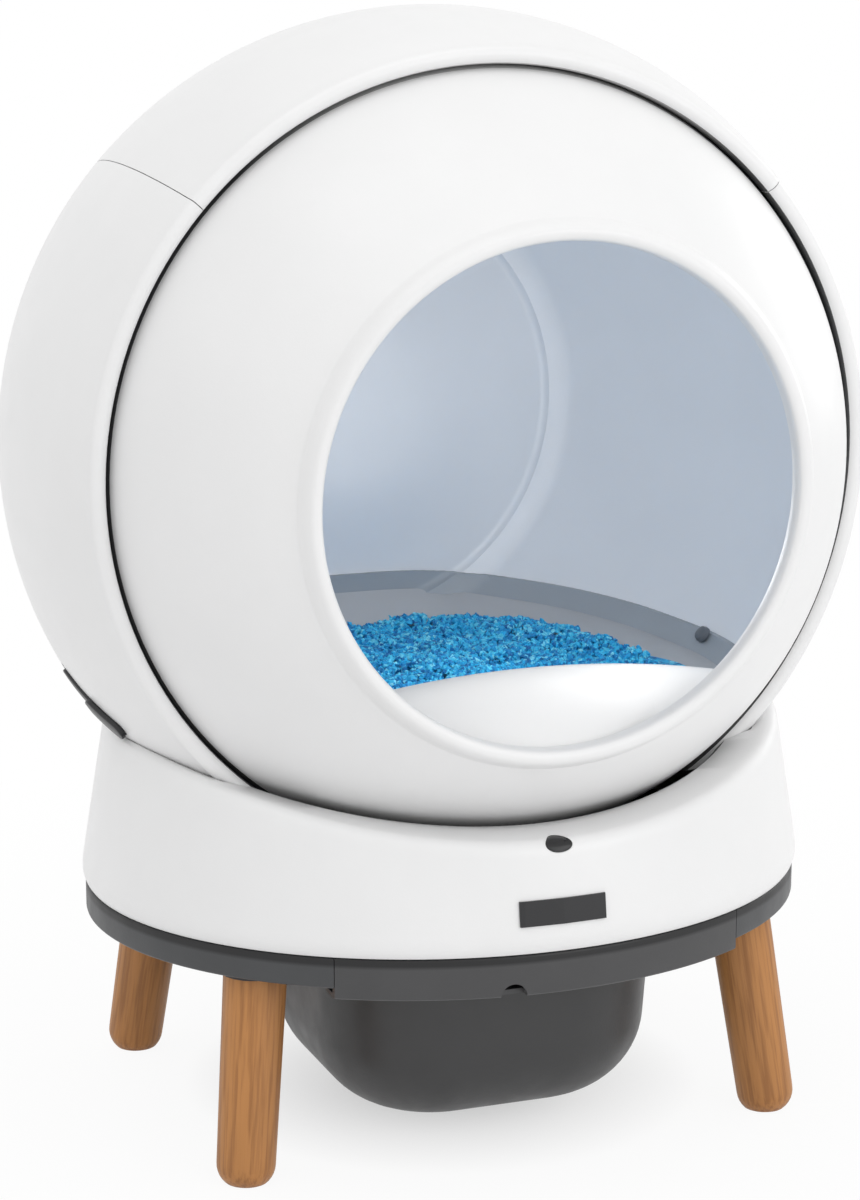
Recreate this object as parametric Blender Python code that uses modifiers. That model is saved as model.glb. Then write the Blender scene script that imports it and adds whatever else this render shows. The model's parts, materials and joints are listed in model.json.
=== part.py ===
"""Self-cleaning litter box: a turning globe in a round housing, on a base with four wooden legs.

Metres, +Z up, the entry faces -Y. The origin lies on the floor under the middle of the object.
The globe turns about a level axis along Y. The waste drawer slides out to the front, the top
cover lifts off, two side latches slide and three buttons are pressed at the back.
"""

import math

import bmesh
import bpy
from mathutils import Matrix, Vector

# Fits that every piece shares
GAP = 0.0003
RUNNING_GAP = 0.0004
OVERRUN = 0.012
MERGE = 0.00001

# Whole object: what lies below the globe takes its height from the housing's lowest point
AXIS_HEIGHT = 0.4205
HOUSING_RADIUS = 0.274
HOUSING_SETBACK = 0.020
REAR_CAP = 0.0885
HALF_DEPTH = HOUSING_SETBACK + HOUSING_RADIUS - REAR_CAP
HOUSING_LOW = AXIS_HEIGHT - HOUSING_RADIUS

# Housing round the globe
HOUSING_WALL = 0.0035
LIP_FRONT = 0.091
LIP_NOSE = 0.0055
LIP_DEPTH = 0.0115
REAR_EDGE = 0.010
RING_GAP = 0.005
HOUSING_DIP = 0.012
SEAM_ANGLE = math.radians(41.7)
REAR_HOLE_RADIUS = 0.140
LEDGE_WIDTH = 0.009
LEDGE_THICK = 0.0032

# Globe
DOME_INSET = 0.0195
GLOBE_INSET = 0.026
DOME_RADIUS = HOUSING_RADIUS - DOME_INSET
GLOBE_RADIUS = HOUSING_RADIUS - GLOBE_INSET
GLOBE_SETBACK = 0.002
GLOBE_WALL = 0.0035
OPENING_RADIUS = 0.148
RIM_WIDTH = 0.009
RIM_DEPTH = 0.0115
RIM_PROUD = 0.0072
RIM_WALL = 0.004
RIM_TURN_SHARE = 0.8
RIM_EDGE_SHARE = 0.35
SHELL_SEAM = -0.046
GLOBE_REAR_GAP = 0.0155
REAR_WALL = HALF_DEPTH - GLOBE_REAR_GAP
REAR_FLAT_RADIUS = 0.150
BOSS_RADIUS = 0.104
BOSS_SLOPE = 0.012
BOSS_DEPTH = 0.012
TRACK_DEPTH = 0.005
TRACK_RADIUS = GLOBE_RADIUS - TRACK_DEPTH
TRACK_WIDTH = 0.016
FRONT_TRACK = -0.062
REAR_TRACK = 0.072
PORT_HALF_WIDTH = 0.072
PORT_FRONT = -0.036
PORT_REAR = 0.054

# Ring gear and its pinion
GEAR_TEETH = 80
PINION_TEETH = 10
GEAR_DEPTH = 0.008
GEAR_MODULE = 2 * (GLOBE_RADIUS - GEAR_DEPTH) / GEAR_TEETH
GEAR_BACKLASH = 0.0016
GEAR_MIDDLE = 0.098
GEAR_WIDTH = 0.016
GEAR_SEAT_DEPTH = 0.0188
GEAR_SEAT_RADIUS = GLOBE_RADIUS - GEAR_SEAT_DEPTH
TOOTH_ROOT_SHARE = 1.15
TOOTH_TIP_SHARE = 0.8
TOOTH_FOOT_SHARE = 0.30
TOOTH_POINT_SHARE = 0.40
PINION_ANGLE = math.radians(32)
SHAFT_RADIUS = 0.004
SHAFT_LENGTH = 0.012

# Litter bowl, litter, entry sill and sieve inside the globe
BOWL_WALL = 0.003
BOWL_RIM_DROP = 0.1195
BOWL_RIM_HEIGHT = AXIS_HEIGHT - BOWL_RIM_DROP
BOWL_RIM_SLOPE = math.radians(6.3)
LITTER_DROP = 0.1535
LITTER_HEIGHT = AXIS_HEIGHT - LITTER_DROP
SILL_WALL = 0.003
SILL_CREST_DROP = 0.110
SILL_FOOT_DROP = 0.147
SILL_LOW_DROP = 0.1465
SILL_CREST_HEIGHT = AXIS_HEIGHT - SILL_CREST_DROP
SILL_FOOT_HEIGHT = AXIS_HEIGHT - SILL_FOOT_DROP
SILL_LOW_HEIGHT = AXIS_HEIGHT - SILL_LOW_DROP
SILL_CREST_BACK = 0.0535
SILL_FOOT_BACK = 0.0625
SILL_CREST_RADIUS = 0.650
SILL_HALF_WIDTH = 0.190
SILL_COLUMNS = 16
SILL_ROWS = 6
SILL_FOLD_SHARES = (0, 1 / 2, 2 / 3, 5 / 6, 1)
CLIP_RADIUS = 0.006
CLIP_LENGTH = 0.005
CLIP_Y = 0.014
CLIP_DROP = 0.142
SIEVE_WALL = 0.003
SIEVE_LOW_ANGLE = math.radians(65)
SIEVE_HIGH_ANGLE = math.radians(155)
SIEVE_SLOT = 0.013
SIEVE_PITCH = 0.024
SIEVE_SLOT_LENGTH = 0.125
SIEVE_BRIDGE = 0.012
SIEVE_SLOTS = 11
SIEVE_FOOT_GAP = 0.012
MAGNET_SIZE = 0.008
MAGNET_THICK = 0.0018
MAGNET_Y = 0.008
MAGNET_ANGLE = math.radians(26)

# Base
BASE_HALF_WIDTH = 0.236
BASE_SETBACK = 0.0005
BASE_RAISE = 0.0025
BASE_TALL = 0.136
BASE_HALF_DEPTH = HALF_DEPTH - BASE_SETBACK
BASE_LOW = HOUSING_LOW + BASE_RAISE
BASE_HIGH = BASE_LOW + BASE_TALL
BASE_TAPER = 0.165
BASE_WALL = 0.003
BASE_ROUND = 0.008
EDGE_ANGLE = math.radians(50)
SADDLE_RADIUS = 0.600
SADDLE_RAISE = 0.066
SADDLE_HEIGHT = BASE_LOW + SADDLE_RAISE
DOME_GAP = 0.003
CHASSIS_INSET = 0.0035
CHASSIS_TALL = 0.0195
CHASSIS_LOW = BASE_LOW - CHASSIS_TALL
CHASSIS_FLOOR = 0.003
CHASSIS_WALL = 0.003

# Sensor window and badge plate on the front of the base
SENSOR_RADIUS = 0.0085
SENSOR_LENGTH = 0.009
SENSOR_TILT = math.radians(28)
SENSOR_BACK = 0.0160
SENSOR_RAISE = 0.0652
SENSOR_Y = SENSOR_BACK - BASE_HALF_DEPTH
SENSOR_HEIGHT = BASE_LOW + SENSOR_RAISE
SENSOR_BOARD = (0.034, 0.016, 0.0016)
BADGE_WIDTH = 0.055
BADGE_TALL = 0.015
BADGE_THICK = 0.0012
BADGE_RAISE = 0.025
BADGE_HEIGHT = BASE_LOW + BADGE_RAISE

# Side latches on the housing
LATCH_LENGTH = 0.064
LATCH_WIDTH = 0.010
LATCH_PROUD = 0.0018
LATCH_FLANGE = 0.0025
LATCH_FLANGE_THICK = 0.002
LATCH_INSIDE = 0.0105
LATCH_Y = 0.006
LATCH_ANGLE = math.radians(32.7)
LATCH_TILT = math.radians(32)
LATCH_TRAVEL = 0.005

# Legs
LEG_TOP_RADIUS = 0.0195
LEG_LOW_RADIUS = 0.0180
LEG_ROUND = 0.0150
LEG_INSET_X = 0.0605
LEG_INSET_Y = 0.078
LEG_FOOT_X = BASE_HALF_WIDTH - LEG_INSET_X
LEG_FOOT_Y = BASE_HALF_DEPTH - LEG_INSET_Y
LEG_SPLAY_X = 0.11
LEG_SPLAY_Y = 0.15
LEG_PLATE_RADIUS = 0.0215
LEG_PLATE_THICK = 0.0025

# Waste drawer
DRAWER_HALF_WIDTH = 0.131
DRAWER_DROP = 0.0065
DRAWER_LOW = CHASSIS_LOW - DRAWER_DROP
DRAWER_WALL = 0.0035
DRAWER_SHELF = 0.055
DRAWER_BACK_Y = DRAWER_SHELF - BASE_HALF_DEPTH
NOTCH_RADIUS = 0.008
NOTCH_DEPTH = 0.0115
NOTCH_X = -0.030
TUB_HALF_WIDTH = 0.1115
TUB_INSET = 0.009
TUB_FRONT = DRAWER_BACK_Y + TUB_INSET
TUB_REAR = 0.083
TUB_LOW = 0.013
TUB_CORNER = 0.074
TUB_BOTTOM_ROUND = 0.050
TUB_ROUND_LIMIT_SHARE = 0.75
TUB_TAPER_SHARE = 0.945
TUB_WALL = 0.003
TUB_ROUND_SHARE = 0.5
FLANGE_HALF_WIDTH = 0.121
FLANGE_REAR = 0.096
FLANGE_THICK = 0.003
RAIL_WALL = 0.003
RAIL_LIP = 0.007
LINER_WALL = 0.0025
LINER_TALL = 0.012

# Chute, rollers, motor and small parts inside the base
CHUTE_HALF_WIDTH = 0.074
CHUTE_FRONT = -0.048
CHUTE_REAR = 0.062
CHUTE_WALL = 0.003
CHUTE_RAISE = 0.003
CHUTE_TOP = BASE_LOW + CHUTE_RAISE
ROLLER_RADIUS = 0.015
ROLLER_WIDTH = 0.012
ROLLER_ANGLE = math.radians(22)
AXLE_RADIUS = 0.003
AXLE_STUB = 0.0035
CHEEK_WALL = 0.003
CHEEK_HALF_WIDTH = 0.007
CHEEK_ABOVE_AXLE = 0.006
MOTOR_RADIUS = 0.0185
MOTOR_CAN_RADIUS = 0.016
MOTOR_LENGTH = 0.054
MOTOR_CAN_LENGTH = 0.030
BRACKET_WALL = 0.003
BRACKET_HALF_WIDTH = 0.020
BRACKET_FOOT_DEPTH = 0.020
BRACKET_ABOVE_SHAFT = 0.019
BOARD_LOW = (-0.182, 0.052)
BOARD_HIGH = (-0.118, 0.102)
BOARD_THICK = 0.0016
BOARD_FOOT_RADIUS = 0.003
BOARD_FOOT_TALL = 0.004
CHIP_SIZE = (0.018, 0.014, 0.003)
HALL_X = -0.1125
HALL_HALF_WIDTH = 0.0050
HALL_RAISE = 0.041
HALL_TOP = BASE_LOW + HALL_RAISE
SWITCH_SIZE = (0.020, 0.007, 0.008)

# Back of the object
REAR_COVER_THICK = 0.0035
VENT_COUNT = 6
VENT_LENGTH = 0.080
VENT_TALL = 0.005
VENT_PITCH = 0.014
FILTER_RADIUS = 0.062
FILTER_THICK = 0.008
SCREW_COUNT = 4
SCREW_SPREAD = math.radians(105)
SCREW_INSET = 0.005
SCREW_HEAD_RADIUS = 0.0035
SCREW_HEAD_DEPTH = 0.0018
SCREW_RADIUS = 0.0015
SCREW_LENGTH = 0.0030
PANEL_HALF_WIDTH = 0.056
PANEL_TALL = 0.026
PANEL_THICK = 0.003
PANEL_RAISE = 0.037
PANEL_HEIGHT = BASE_LOW + PANEL_RAISE
PANEL_BORDER = 0.004
PANEL_BACK = 0.0213
PANEL_Y = BASE_HALF_DEPTH - PANEL_BACK
BUTTON_RADIUS = 0.0070
BUTTON_LENGTH = 0.0080
BUTTON_PROUD = 0.0025
BUTTON_PITCH = 0.028
BUTTON_X = -0.020
LIGHT_RADIUS = 0.0025
LIGHT_X = 0.044
INLET_RADIUS = 0.0060
INLET_SOCKET_RADIUS = 0.0033
INLET_SOCKET_DEPTH = 0.010
INLET_LENGTH = 0.018
INLET_X = 0.085
INLET_RAISE = 0.017
INLET_HEIGHT = BASE_LOW + INLET_RAISE
INLET_BACK = 0.0145
INLET_FACE_Y = BASE_HALF_DEPTH - INLET_BACK

# Sides of the round shapes
SHELL_STEPS = 44
OUTER_ARC_POINTS = 10
WELL_ARC_POINTS = 20
BASE_SIDES = 60
SADDLE_SIDES = 96
LEG_STEPS = 20
ROUND_STEPS = 16
SMALL_STEPS = 12

SWAP_YZ = Matrix.Rotation(-math.pi / 2, 4, "X")


# Scene, collections and materials

def clear_scene():
    for obj in list(bpy.data.objects):
        bpy.data.objects.remove(obj, do_unlink=True)


def make_collection(name):
    group = bpy.data.collections.new(name)
    bpy.context.scene.collection.children.link(group)
    return group


def finish(name, colour, roughness, metallic=0.0):
    material = bpy.data.materials.new(name)
    material.use_nodes = True
    shader = material.node_tree.nodes["Principled BSDF"]
    shader.inputs["Base Color"].default_value = (*colour, 1.0)
    shader.inputs["Roughness"].default_value = roughness
    shader.inputs["Metallic"].default_value = metallic
    material.diffuse_color = (*colour, 1.0)
    return material


clear_scene()
PARTS = make_collection("self_cleaning_litter_box")
CUTTERS = make_collection("cutters")
WHITE = finish("white_shell", (0.86, 0.86, 0.87), 0.35)
PALE = finish("pale_grey_lining", (0.50, 0.53, 0.60), 0.4)
GREY = finish("grey_bowl", (0.16, 0.17, 0.19), 0.5)
BLUE = finish("blue_litter", (0.02, 0.28, 0.60), 0.8)
CHARCOAL = finish("charcoal_plastic", (0.055, 0.055, 0.06), 0.45)
BLACK = finish("black_plastic", (0.015, 0.015, 0.017), 0.4)
WOOD = finish("oiled_wood", (0.36, 0.15, 0.05), 0.5)
STEEL = finish("zinc_steel", (0.55, 0.56, 0.58), 0.35, 1.0)
RUBBER = finish("roller_rubber", (0.05, 0.05, 0.05), 0.75)
BOARD = finish("circuit_board", (0.02, 0.14, 0.06), 0.5)
SMOKED = finish("smoked_lens", (0.01, 0.01, 0.012), 0.12)
CARBON = finish("carbon_felt", (0.03, 0.03, 0.03), 0.9)


# Ways to make a mesh

def add_object(name, mesh, material=None):
    """A part when it has a material, and otherwise a cutter."""
    obj = bpy.data.objects.new(name, mesh)
    if material is None:
        CUTTERS.objects.link(obj)
        obj.hide_render = True
        obj.display_type = "WIRE"
    else:
        PARTS.objects.link(obj)
        mesh.materials.append(material)
    return obj


def mesh_of(bm, name):
    bmesh.ops.recalc_face_normals(bm, faces=bm.faces)
    mesh = bpy.data.meshes.new(name)
    bm.to_mesh(mesh)
    bm.free()
    return mesh


def smooth(mesh, angle=math.radians(35)):
    mesh.shade_smooth()
    mesh.set_sharp_from_angle(angle=angle)


def box(name, low, high, material=None, place=None):
    """A box between two corners, in its own frame if a place is given."""
    low, high = Vector(low), Vector(high)
    bm = bmesh.new()
    bmesh.ops.create_cube(bm, size=1)
    bmesh.ops.scale(bm, vec=high - low, verts=bm.verts)
    bmesh.ops.translate(bm, vec=(low + high) / 2, verts=bm.verts)
    obj = add_object(name, mesh_of(bm, name), material)
    if place is not None:
        obj.matrix_world = place
    return obj


def many_boxes(name, corners, place=None):
    """One cutter of several separate boxes."""
    bm = bmesh.new()
    for low, high in corners:
        low, high = Vector(low), Vector(high)
        verts = bmesh.ops.create_cube(bm, size=1)["verts"]
        bmesh.ops.scale(bm, vec=high - low, verts=verts)
        bmesh.ops.translate(bm, vec=(low + high) / 2, verts=verts)
    obj = add_object(name, mesh_of(bm, name))
    if place is not None:
        obj.matrix_world = place
    return obj


def frustum(name, radius_low, radius_high, low, high, sides, share_y=1, material=None):
    """An upright cone or cylinder; its depth is share_y of its width."""
    bm = bmesh.new()
    bmesh.ops.create_cone(bm, cap_ends=True, segments=sides, radius1=radius_low,
                          radius2=radius_high, depth=high - low)
    bmesh.ops.scale(bm, vec=(1, share_y, 1), verts=bm.verts)
    bmesh.ops.translate(bm, vec=(0, 0, (low + high) / 2), verts=bm.verts)
    mesh = mesh_of(bm, name)
    smooth(mesh)
    return add_object(name, mesh, material)


def rod(name, start, end, radius, sides, material=None):
    """A cylinder from start to end; its origin is at start, on its own axis."""
    start, end = Vector(start), Vector(end)
    run = end - start
    bm = bmesh.new()
    bmesh.ops.create_cone(bm, cap_ends=True, segments=sides, radius1=radius, radius2=radius,
                          depth=run.length)
    bmesh.ops.translate(bm, vec=(0, 0, run.length / 2), verts=bm.verts)
    mesh = mesh_of(bm, name)
    smooth(mesh)
    obj = add_object(name, mesh, material)
    turn = run.to_track_quat("Z", "Y").to_matrix().to_4x4()
    obj.matrix_world = Matrix.Translation(start) @ turn
    return obj


def turned(name, profile, place, steps, material=None, closed=True):
    """A profile of (radius, height) points, outer side first and downwards, turned round Z."""
    mesh = bpy.data.meshes.new(name)
    verts = [(radius, 0, height) for radius, height in profile]
    edges = [(i, i + 1) for i in range(len(verts) - 1)]
    if closed:
        edges.append((len(verts) - 1, 0))
    mesh.from_pydata(verts, edges, [])
    obj = add_object(name, mesh, material)
    obj.matrix_world = place
    screw = obj.modifiers.new("turn", "SCREW")
    screw.axis = "Z"
    screw.angle = 2 * math.pi
    screw.steps = steps
    screw.render_steps = steps
    screw.use_merge_vertices = True
    screw.merge_threshold = MERGE
    screw.use_smooth_shade = True
    return obj


def plate(name, outlines, thickness, place, material=None):
    """Flat outlines in XY, the first one outside and the others holes, made thick both ways."""
    curve = bpy.data.curves.new(name, "CURVE")
    curve.dimensions = "2D"
    curve.fill_mode = "BOTH"
    curve.extrude = thickness / 2
    for outline in outlines:
        spline = curve.splines.new("POLY")
        spline.points.add(len(outline) - 1)
        for point, (x, y) in zip(spline.points, outline):
            point.co = (x, y, 0, 1)
        spline.use_cyclic_u = True
    drawn = bpy.data.objects.new(name + "_outline", curve)
    PARTS.objects.link(drawn)
    depsgraph = bpy.context.evaluated_depsgraph_get()
    mesh = bpy.data.meshes.new_from_object(drawn.evaluated_get(depsgraph))
    bpy.data.objects.remove(drawn, do_unlink=True)
    bm = bmesh.new()
    bm.from_mesh(mesh)
    bmesh.ops.remove_doubles(bm, verts=bm.verts, dist=MERGE)
    bpy.data.meshes.remove(mesh)
    obj = add_object(name, mesh_of(bm, name), material)
    obj.matrix_world = place
    return obj


def combine(obj, other, operation="DIFFERENCE"):
    """Cuts, joins or trims obj with another object, which becomes a cutter."""
    if other.name in PARTS.objects:
        PARTS.objects.unlink(other)
        CUTTERS.objects.link(other)
    other.hide_render = True
    other.display_type = "WIRE"
    step = obj.modifiers.new(other.name, "BOOLEAN")
    step.operation = operation
    step.solver = "EXACT"
    step.object = other
    return obj


def on_axis(y=0):
    """A place whose local Z lies along world Y, on the globe's axis."""
    return Matrix.Translation((0, y, AXIS_HEIGHT)) @ SWAP_YZ


def polar(angle, radius, y):
    """A point at an angle from straight down, positive towards +X, round the globe's axis."""
    return Vector((radius * math.sin(angle), y, AXIS_HEIGHT - radius * math.cos(angle)))


def arc(count, start, end):
    return [start + (end - start) * i / (count - 1) for i in range(count)]


def ball(radius, setback, y_start, y_end, count):
    """Points (radius, y) along a ball's outline, evenly turned from y_start to y_end."""
    first = math.acos((y_start - setback) / radius)
    last = math.acos((y_end - setback) / radius)
    return [(radius * math.sin(a), setback + radius * math.cos(a)) for a in arc(count, first, last)]


def ball_at(radius, setback, y):
    return math.sqrt(radius * radius - (y - setback) * (y - setback))


# Shapes that several pieces share

def lip_inner_radius():
    return ball_at(DOME_RADIUS, GLOBE_SETBACK, -LIP_FRONT) + RING_GAP


def housing_profile():
    """Outer side from the back to the front lip, then the inner side back to the rear ledge."""
    outer_rear = ball_at(HOUSING_RADIUS, HOUSING_SETBACK, HALF_DEPTH)
    nose_y = LIP_NOSE - LIP_FRONT
    profile = [(REAR_HOLE_RADIUS, HALF_DEPTH), (outer_rear - REAR_EDGE, HALF_DEPTH)]
    profile += ball(HOUSING_RADIUS, HOUSING_SETBACK, HALF_DEPTH - REAR_EDGE / 2, nose_y,
                    OUTER_ARC_POINTS)
    nose_outer = profile[-1][0]
    nose_inner = lip_inner_radius()
    middle = (nose_outer + nose_inner) / 2
    half = (nose_outer - nose_inner) / 2
    for angle in arc(5, 0, math.pi)[1:]:
        profile.append((middle + half * math.cos(angle), nose_y - LIP_NOSE * math.sin(angle)))
    step_y = LIP_DEPTH - LIP_FRONT
    inner = HOUSING_RADIUS - HOUSING_WALL
    wall_y = HALF_DEPTH - HOUSING_WALL
    profile.append((nose_inner, step_y))
    profile += ball(inner, HOUSING_SETBACK, step_y, wall_y, 7)
    ledge_front = wall_y - LEDGE_THICK - GAP
    ledge_out = REAR_HOLE_RADIUS + LEDGE_WIDTH
    ledge_in = REAR_HOLE_RADIUS - LEDGE_WIDTH
    profile += [(ledge_out, wall_y), (ledge_out, ledge_front), (ledge_in, ledge_front),
                (ledge_in, wall_y - GAP), (REAR_HOLE_RADIUS, wall_y - GAP)]
    return profile


def seam_wedge(name, lift):
    """The wedge above both top seams, lifted a little for the piece that leaves a gap."""
    reach = HOUSING_RADIUS + OVERRUN
    rise = reach * math.tan(SEAM_ANGLE)
    outline = [(0, lift), (reach, rise + lift), (reach, rise + reach), (-reach, rise + reach),
               (-reach, rise + lift)]
    place = Matrix.Translation((0, 0, AXIS_HEIGHT)) @ Matrix.Rotation(math.pi / 2, 4, "X")
    return plate(name, [outline], 2 * HALF_DEPTH + 2 * OVERRUN, place)


def saddle_cylinder(name, drop):
    """The cylinder along Y whose underside is the base's saddle, lowered by drop."""
    radius = SADDLE_RADIUS + drop
    centre = SADDLE_HEIGHT + SADDLE_RADIUS
    reach = HALF_DEPTH + 2 * OVERRUN
    return rod(name, (0, -reach, centre), (0, reach, centre), radius, SADDLE_SIDES)


def globe_inside(clearance):
    """The globe's inner outline in two runs, from the back to the entry rim, less a clearance."""
    dome = DOME_RADIUS - GLOBE_WALL - clearance
    body = GLOBE_RADIUS - GLOBE_WALL - clearance
    rear = REAR_WALL - clearance
    boss = REAR_WALL - BOSS_DEPTH - clearance
    low = BOSS_RADIUS - BOSS_SLOPE / 2 + clearance
    high = BOSS_RADIUS + BOSS_SLOPE / 2 + clearance
    corner = ball(body, GLOBE_SETBACK, rear - REAR_EDGE / 2, SHELL_SEAM, 6)
    return ([(0, boss), (low, boss), (high, rear), (REAR_FLAT_RADIUS - clearance, rear)] + corner,
            ball(dome, GLOBE_SETBACK, FRONT_TRACK, rim_inner_y(clearance), 5))


def rim_inner_y(clearance):
    """Where the dome's inner side meets the entry rim."""
    dome = DOME_RADIUS - GLOBE_WALL - clearance
    reach = OPENING_RADIUS + RIM_WALL
    return GLOBE_SETBACK - math.sqrt(dome * dome - reach * reach)


def rim_outer_y():
    """Where the dome's outer side meets the entry rim."""
    reach = OPENING_RADIUS + RIM_WIDTH
    return GLOBE_SETBACK - math.sqrt(DOME_RADIUS * DOME_RADIUS - reach * reach)


def rim_front_y():
    return rim_outer_y() - RIM_PROUD


def inside_solid(name, clearance, material=None):
    """Everything inside the globe, closed flat across the entry, with a clearance to its wall."""
    rear, front = globe_inside(clearance)
    profile = rear + front + [(0, front[-1][1])]
    return turned(name, profile, on_axis(), SHELL_STEPS, material, closed=False)


def base_radius(z):
    return BASE_HALF_WIDTH - BASE_TAPER * (z - BASE_LOW)


def base_solid(name, grow, low, high, material=None):
    """The base's tapered oval body, its wall moved outwards by grow."""
    share_y = (BASE_HALF_DEPTH + grow) / (BASE_HALF_WIDTH + grow)
    return frustum(name, base_radius(low) + grow, base_radius(high) + grow, low, high,
                   BASE_SIDES, share_y, material)


def chassis_solid(name, inset, low, high, material=None):
    """An upright oval disc a little inside the base's lower edge."""
    width = BASE_HALF_WIDTH - inset
    share_y = (BASE_HALF_DEPTH - inset) / width
    return frustum(name, width, width, low, high, BASE_SIDES, share_y, material)


# Housing, top cover and rear cover

def latch_place(side):
    """Frame of a side latch: X along its travel, Z out of the housing."""
    normal = Vector((side * math.cos(LATCH_ANGLE), 0, -math.sin(LATCH_ANGLE)))
    upward = Vector((side * math.sin(LATCH_ANGLE), 0, math.cos(LATCH_ANGLE)))
    along = Vector((0, math.cos(LATCH_TILT), 0)) + upward * math.sin(LATCH_TILT)
    across = normal.cross(along)
    radius = ball_at(HOUSING_RADIUS, HOUSING_SETBACK, LATCH_Y)
    centre = Vector((0, LATCH_Y, AXIS_HEIGHT)) + normal * radius
    place = Matrix((along, across, normal)).transposed().to_4x4()
    place.translation = centre
    return place


def capsule(length, width, shift=0):
    """A bar outline with round ends, its middle moved along X by shift."""
    reach = (length - width) / 2
    right = [(shift + reach + width / 2 * math.cos(a), width / 2 * math.sin(a))
             for a in arc(7, -math.pi / 2, math.pi / 2)]
    left = [(shift - reach - width / 2 * math.cos(a), -width / 2 * math.sin(a))
            for a in arc(7, -math.pi / 2, math.pi / 2)]
    return right + left


def make_latch(side, word):
    place = latch_place(side)
    depth = LATCH_INSIDE + LATCH_PROUD
    bar = plate("side_latch_" + word, [capsule(LATCH_LENGTH, LATCH_WIDTH)], depth,
                place @ Matrix.Translation((0, 0, LATCH_PROUD - depth / 2)), BLACK)
    outline = capsule(LATCH_LENGTH + LATCH_FLANGE, LATCH_WIDTH + 2 * LATCH_FLANGE)
    flange = plate("latch_flange_" + word, [outline], LATCH_FLANGE_THICK,
                   place @ Matrix.Translation((0, 0, LATCH_FLANGE_THICK / 2 - LATCH_INSIDE)))
    combine(bar, flange, "UNION")


def latch_slot(side, word):
    length = LATCH_LENGTH + LATCH_TRAVEL + 2 * RUNNING_GAP
    outline = capsule(length, LATCH_WIDTH + 2 * RUNNING_GAP, LATCH_TRAVEL / 2)
    return plate("latch_slot_" + word, [outline], 2 * LATCH_INSIDE, latch_place(side))


def make_housing():
    shell = turned("housing_shell", housing_profile(), on_axis(), SHELL_STEPS, WHITE)
    combine(shell, seam_wedge("seam_wedge", 0))
    combine(shell, saddle_cylinder("housing_skirt_line", HOUSING_DIP), "INTERSECT")
    for side, word in ((-1, "left"), (1, "right")):
        make_latch(side, word)
        combine(shell, latch_slot(side, word))
    for index in range(SCREW_COUNT):
        combine(shell, screw_hole(index, SCREW_RADIUS + GAP, "ledge"))


def make_top_cover():
    cover = turned("top_cover", housing_profile(), on_axis(), SHELL_STEPS, WHITE)
    combine(cover, seam_wedge("seam_wedge_raised", GAP / math.cos(SEAM_ANGLE)), "INTERSECT")


def screw_point(index):
    """Screws sit on the ledge, low enough that the lifting top cover holds none of them."""
    angle = arc(SCREW_COUNT, -SCREW_SPREAD, SCREW_SPREAD)[index]
    return polar(angle, REAR_HOLE_RADIUS - SCREW_INSET, 0)


def screw_hole(index, radius, word):
    point = screw_point(index)
    return rod("screw_hole_%s_%d" % (word, index), (point.x, HALF_DEPTH - 2 * OVERRUN, point.z),
               (point.x, HALF_DEPTH + OVERRUN, point.z), radius, SMALL_STEPS)


def make_rear_cover():
    inner_y = HALF_DEPTH - REAR_COVER_THICK
    cover = rod("rear_cover", (0, inner_y, AXIS_HEIGHT), (0, HALF_DEPTH, AXIS_HEIGHT),
                REAR_HOLE_RADIUS - GAP, SHELL_STEPS, WHITE)
    slots = []
    for index in range(VENT_COUNT):
        z = AXIS_HEIGHT + (index - (VENT_COUNT - 1) / 2) * VENT_PITCH
        slots.append(((-VENT_LENGTH / 2, inner_y - OVERRUN, z - VENT_TALL / 2),
                      (VENT_LENGTH / 2, HALF_DEPTH + OVERRUN, z + VENT_TALL / 2)))
    combine(cover, many_boxes("vent_slots", slots))
    for index in range(SCREW_COUNT):
        combine(cover, screw_hole(index, SCREW_RADIUS + GAP, "cover"))
        point = screw_point(index)
        seat_y = HALF_DEPTH - SCREW_HEAD_DEPTH - GAP
        combine(cover, rod("screw_seat_%d" % index, (point.x, seat_y, point.z),
                           (point.x, HALF_DEPTH + OVERRUN, point.z), SCREW_HEAD_RADIUS + GAP,
                           SMALL_STEPS))
        make_screw(index)


def make_screw(index):
    point = screw_point(index)
    head_low = -SCREW_HEAD_DEPTH
    tip = head_low - SCREW_LENGTH
    profile = [(0, 0), (SCREW_HEAD_RADIUS, 0), (SCREW_HEAD_RADIUS, head_low),
               (SCREW_RADIUS, head_low), (SCREW_RADIUS, tip), (0, tip)]
    place = Matrix.Translation((point.x, HALF_DEPTH, point.z)) @ SWAP_YZ
    turned("rear_cover_screw_%d" % (index + 1), profile, place, SMALL_STEPS, STEEL, closed=False)


def make_filter():
    back = HALF_DEPTH - REAR_COVER_THICK - GAP
    rod("carbon_filter", (0, back - FILTER_THICK, AXIS_HEIGHT), (0, back, AXIS_HEIGHT),
        FILTER_RADIUS, 2 * ROUND_STEPS, CARBON)


# Globe

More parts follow.
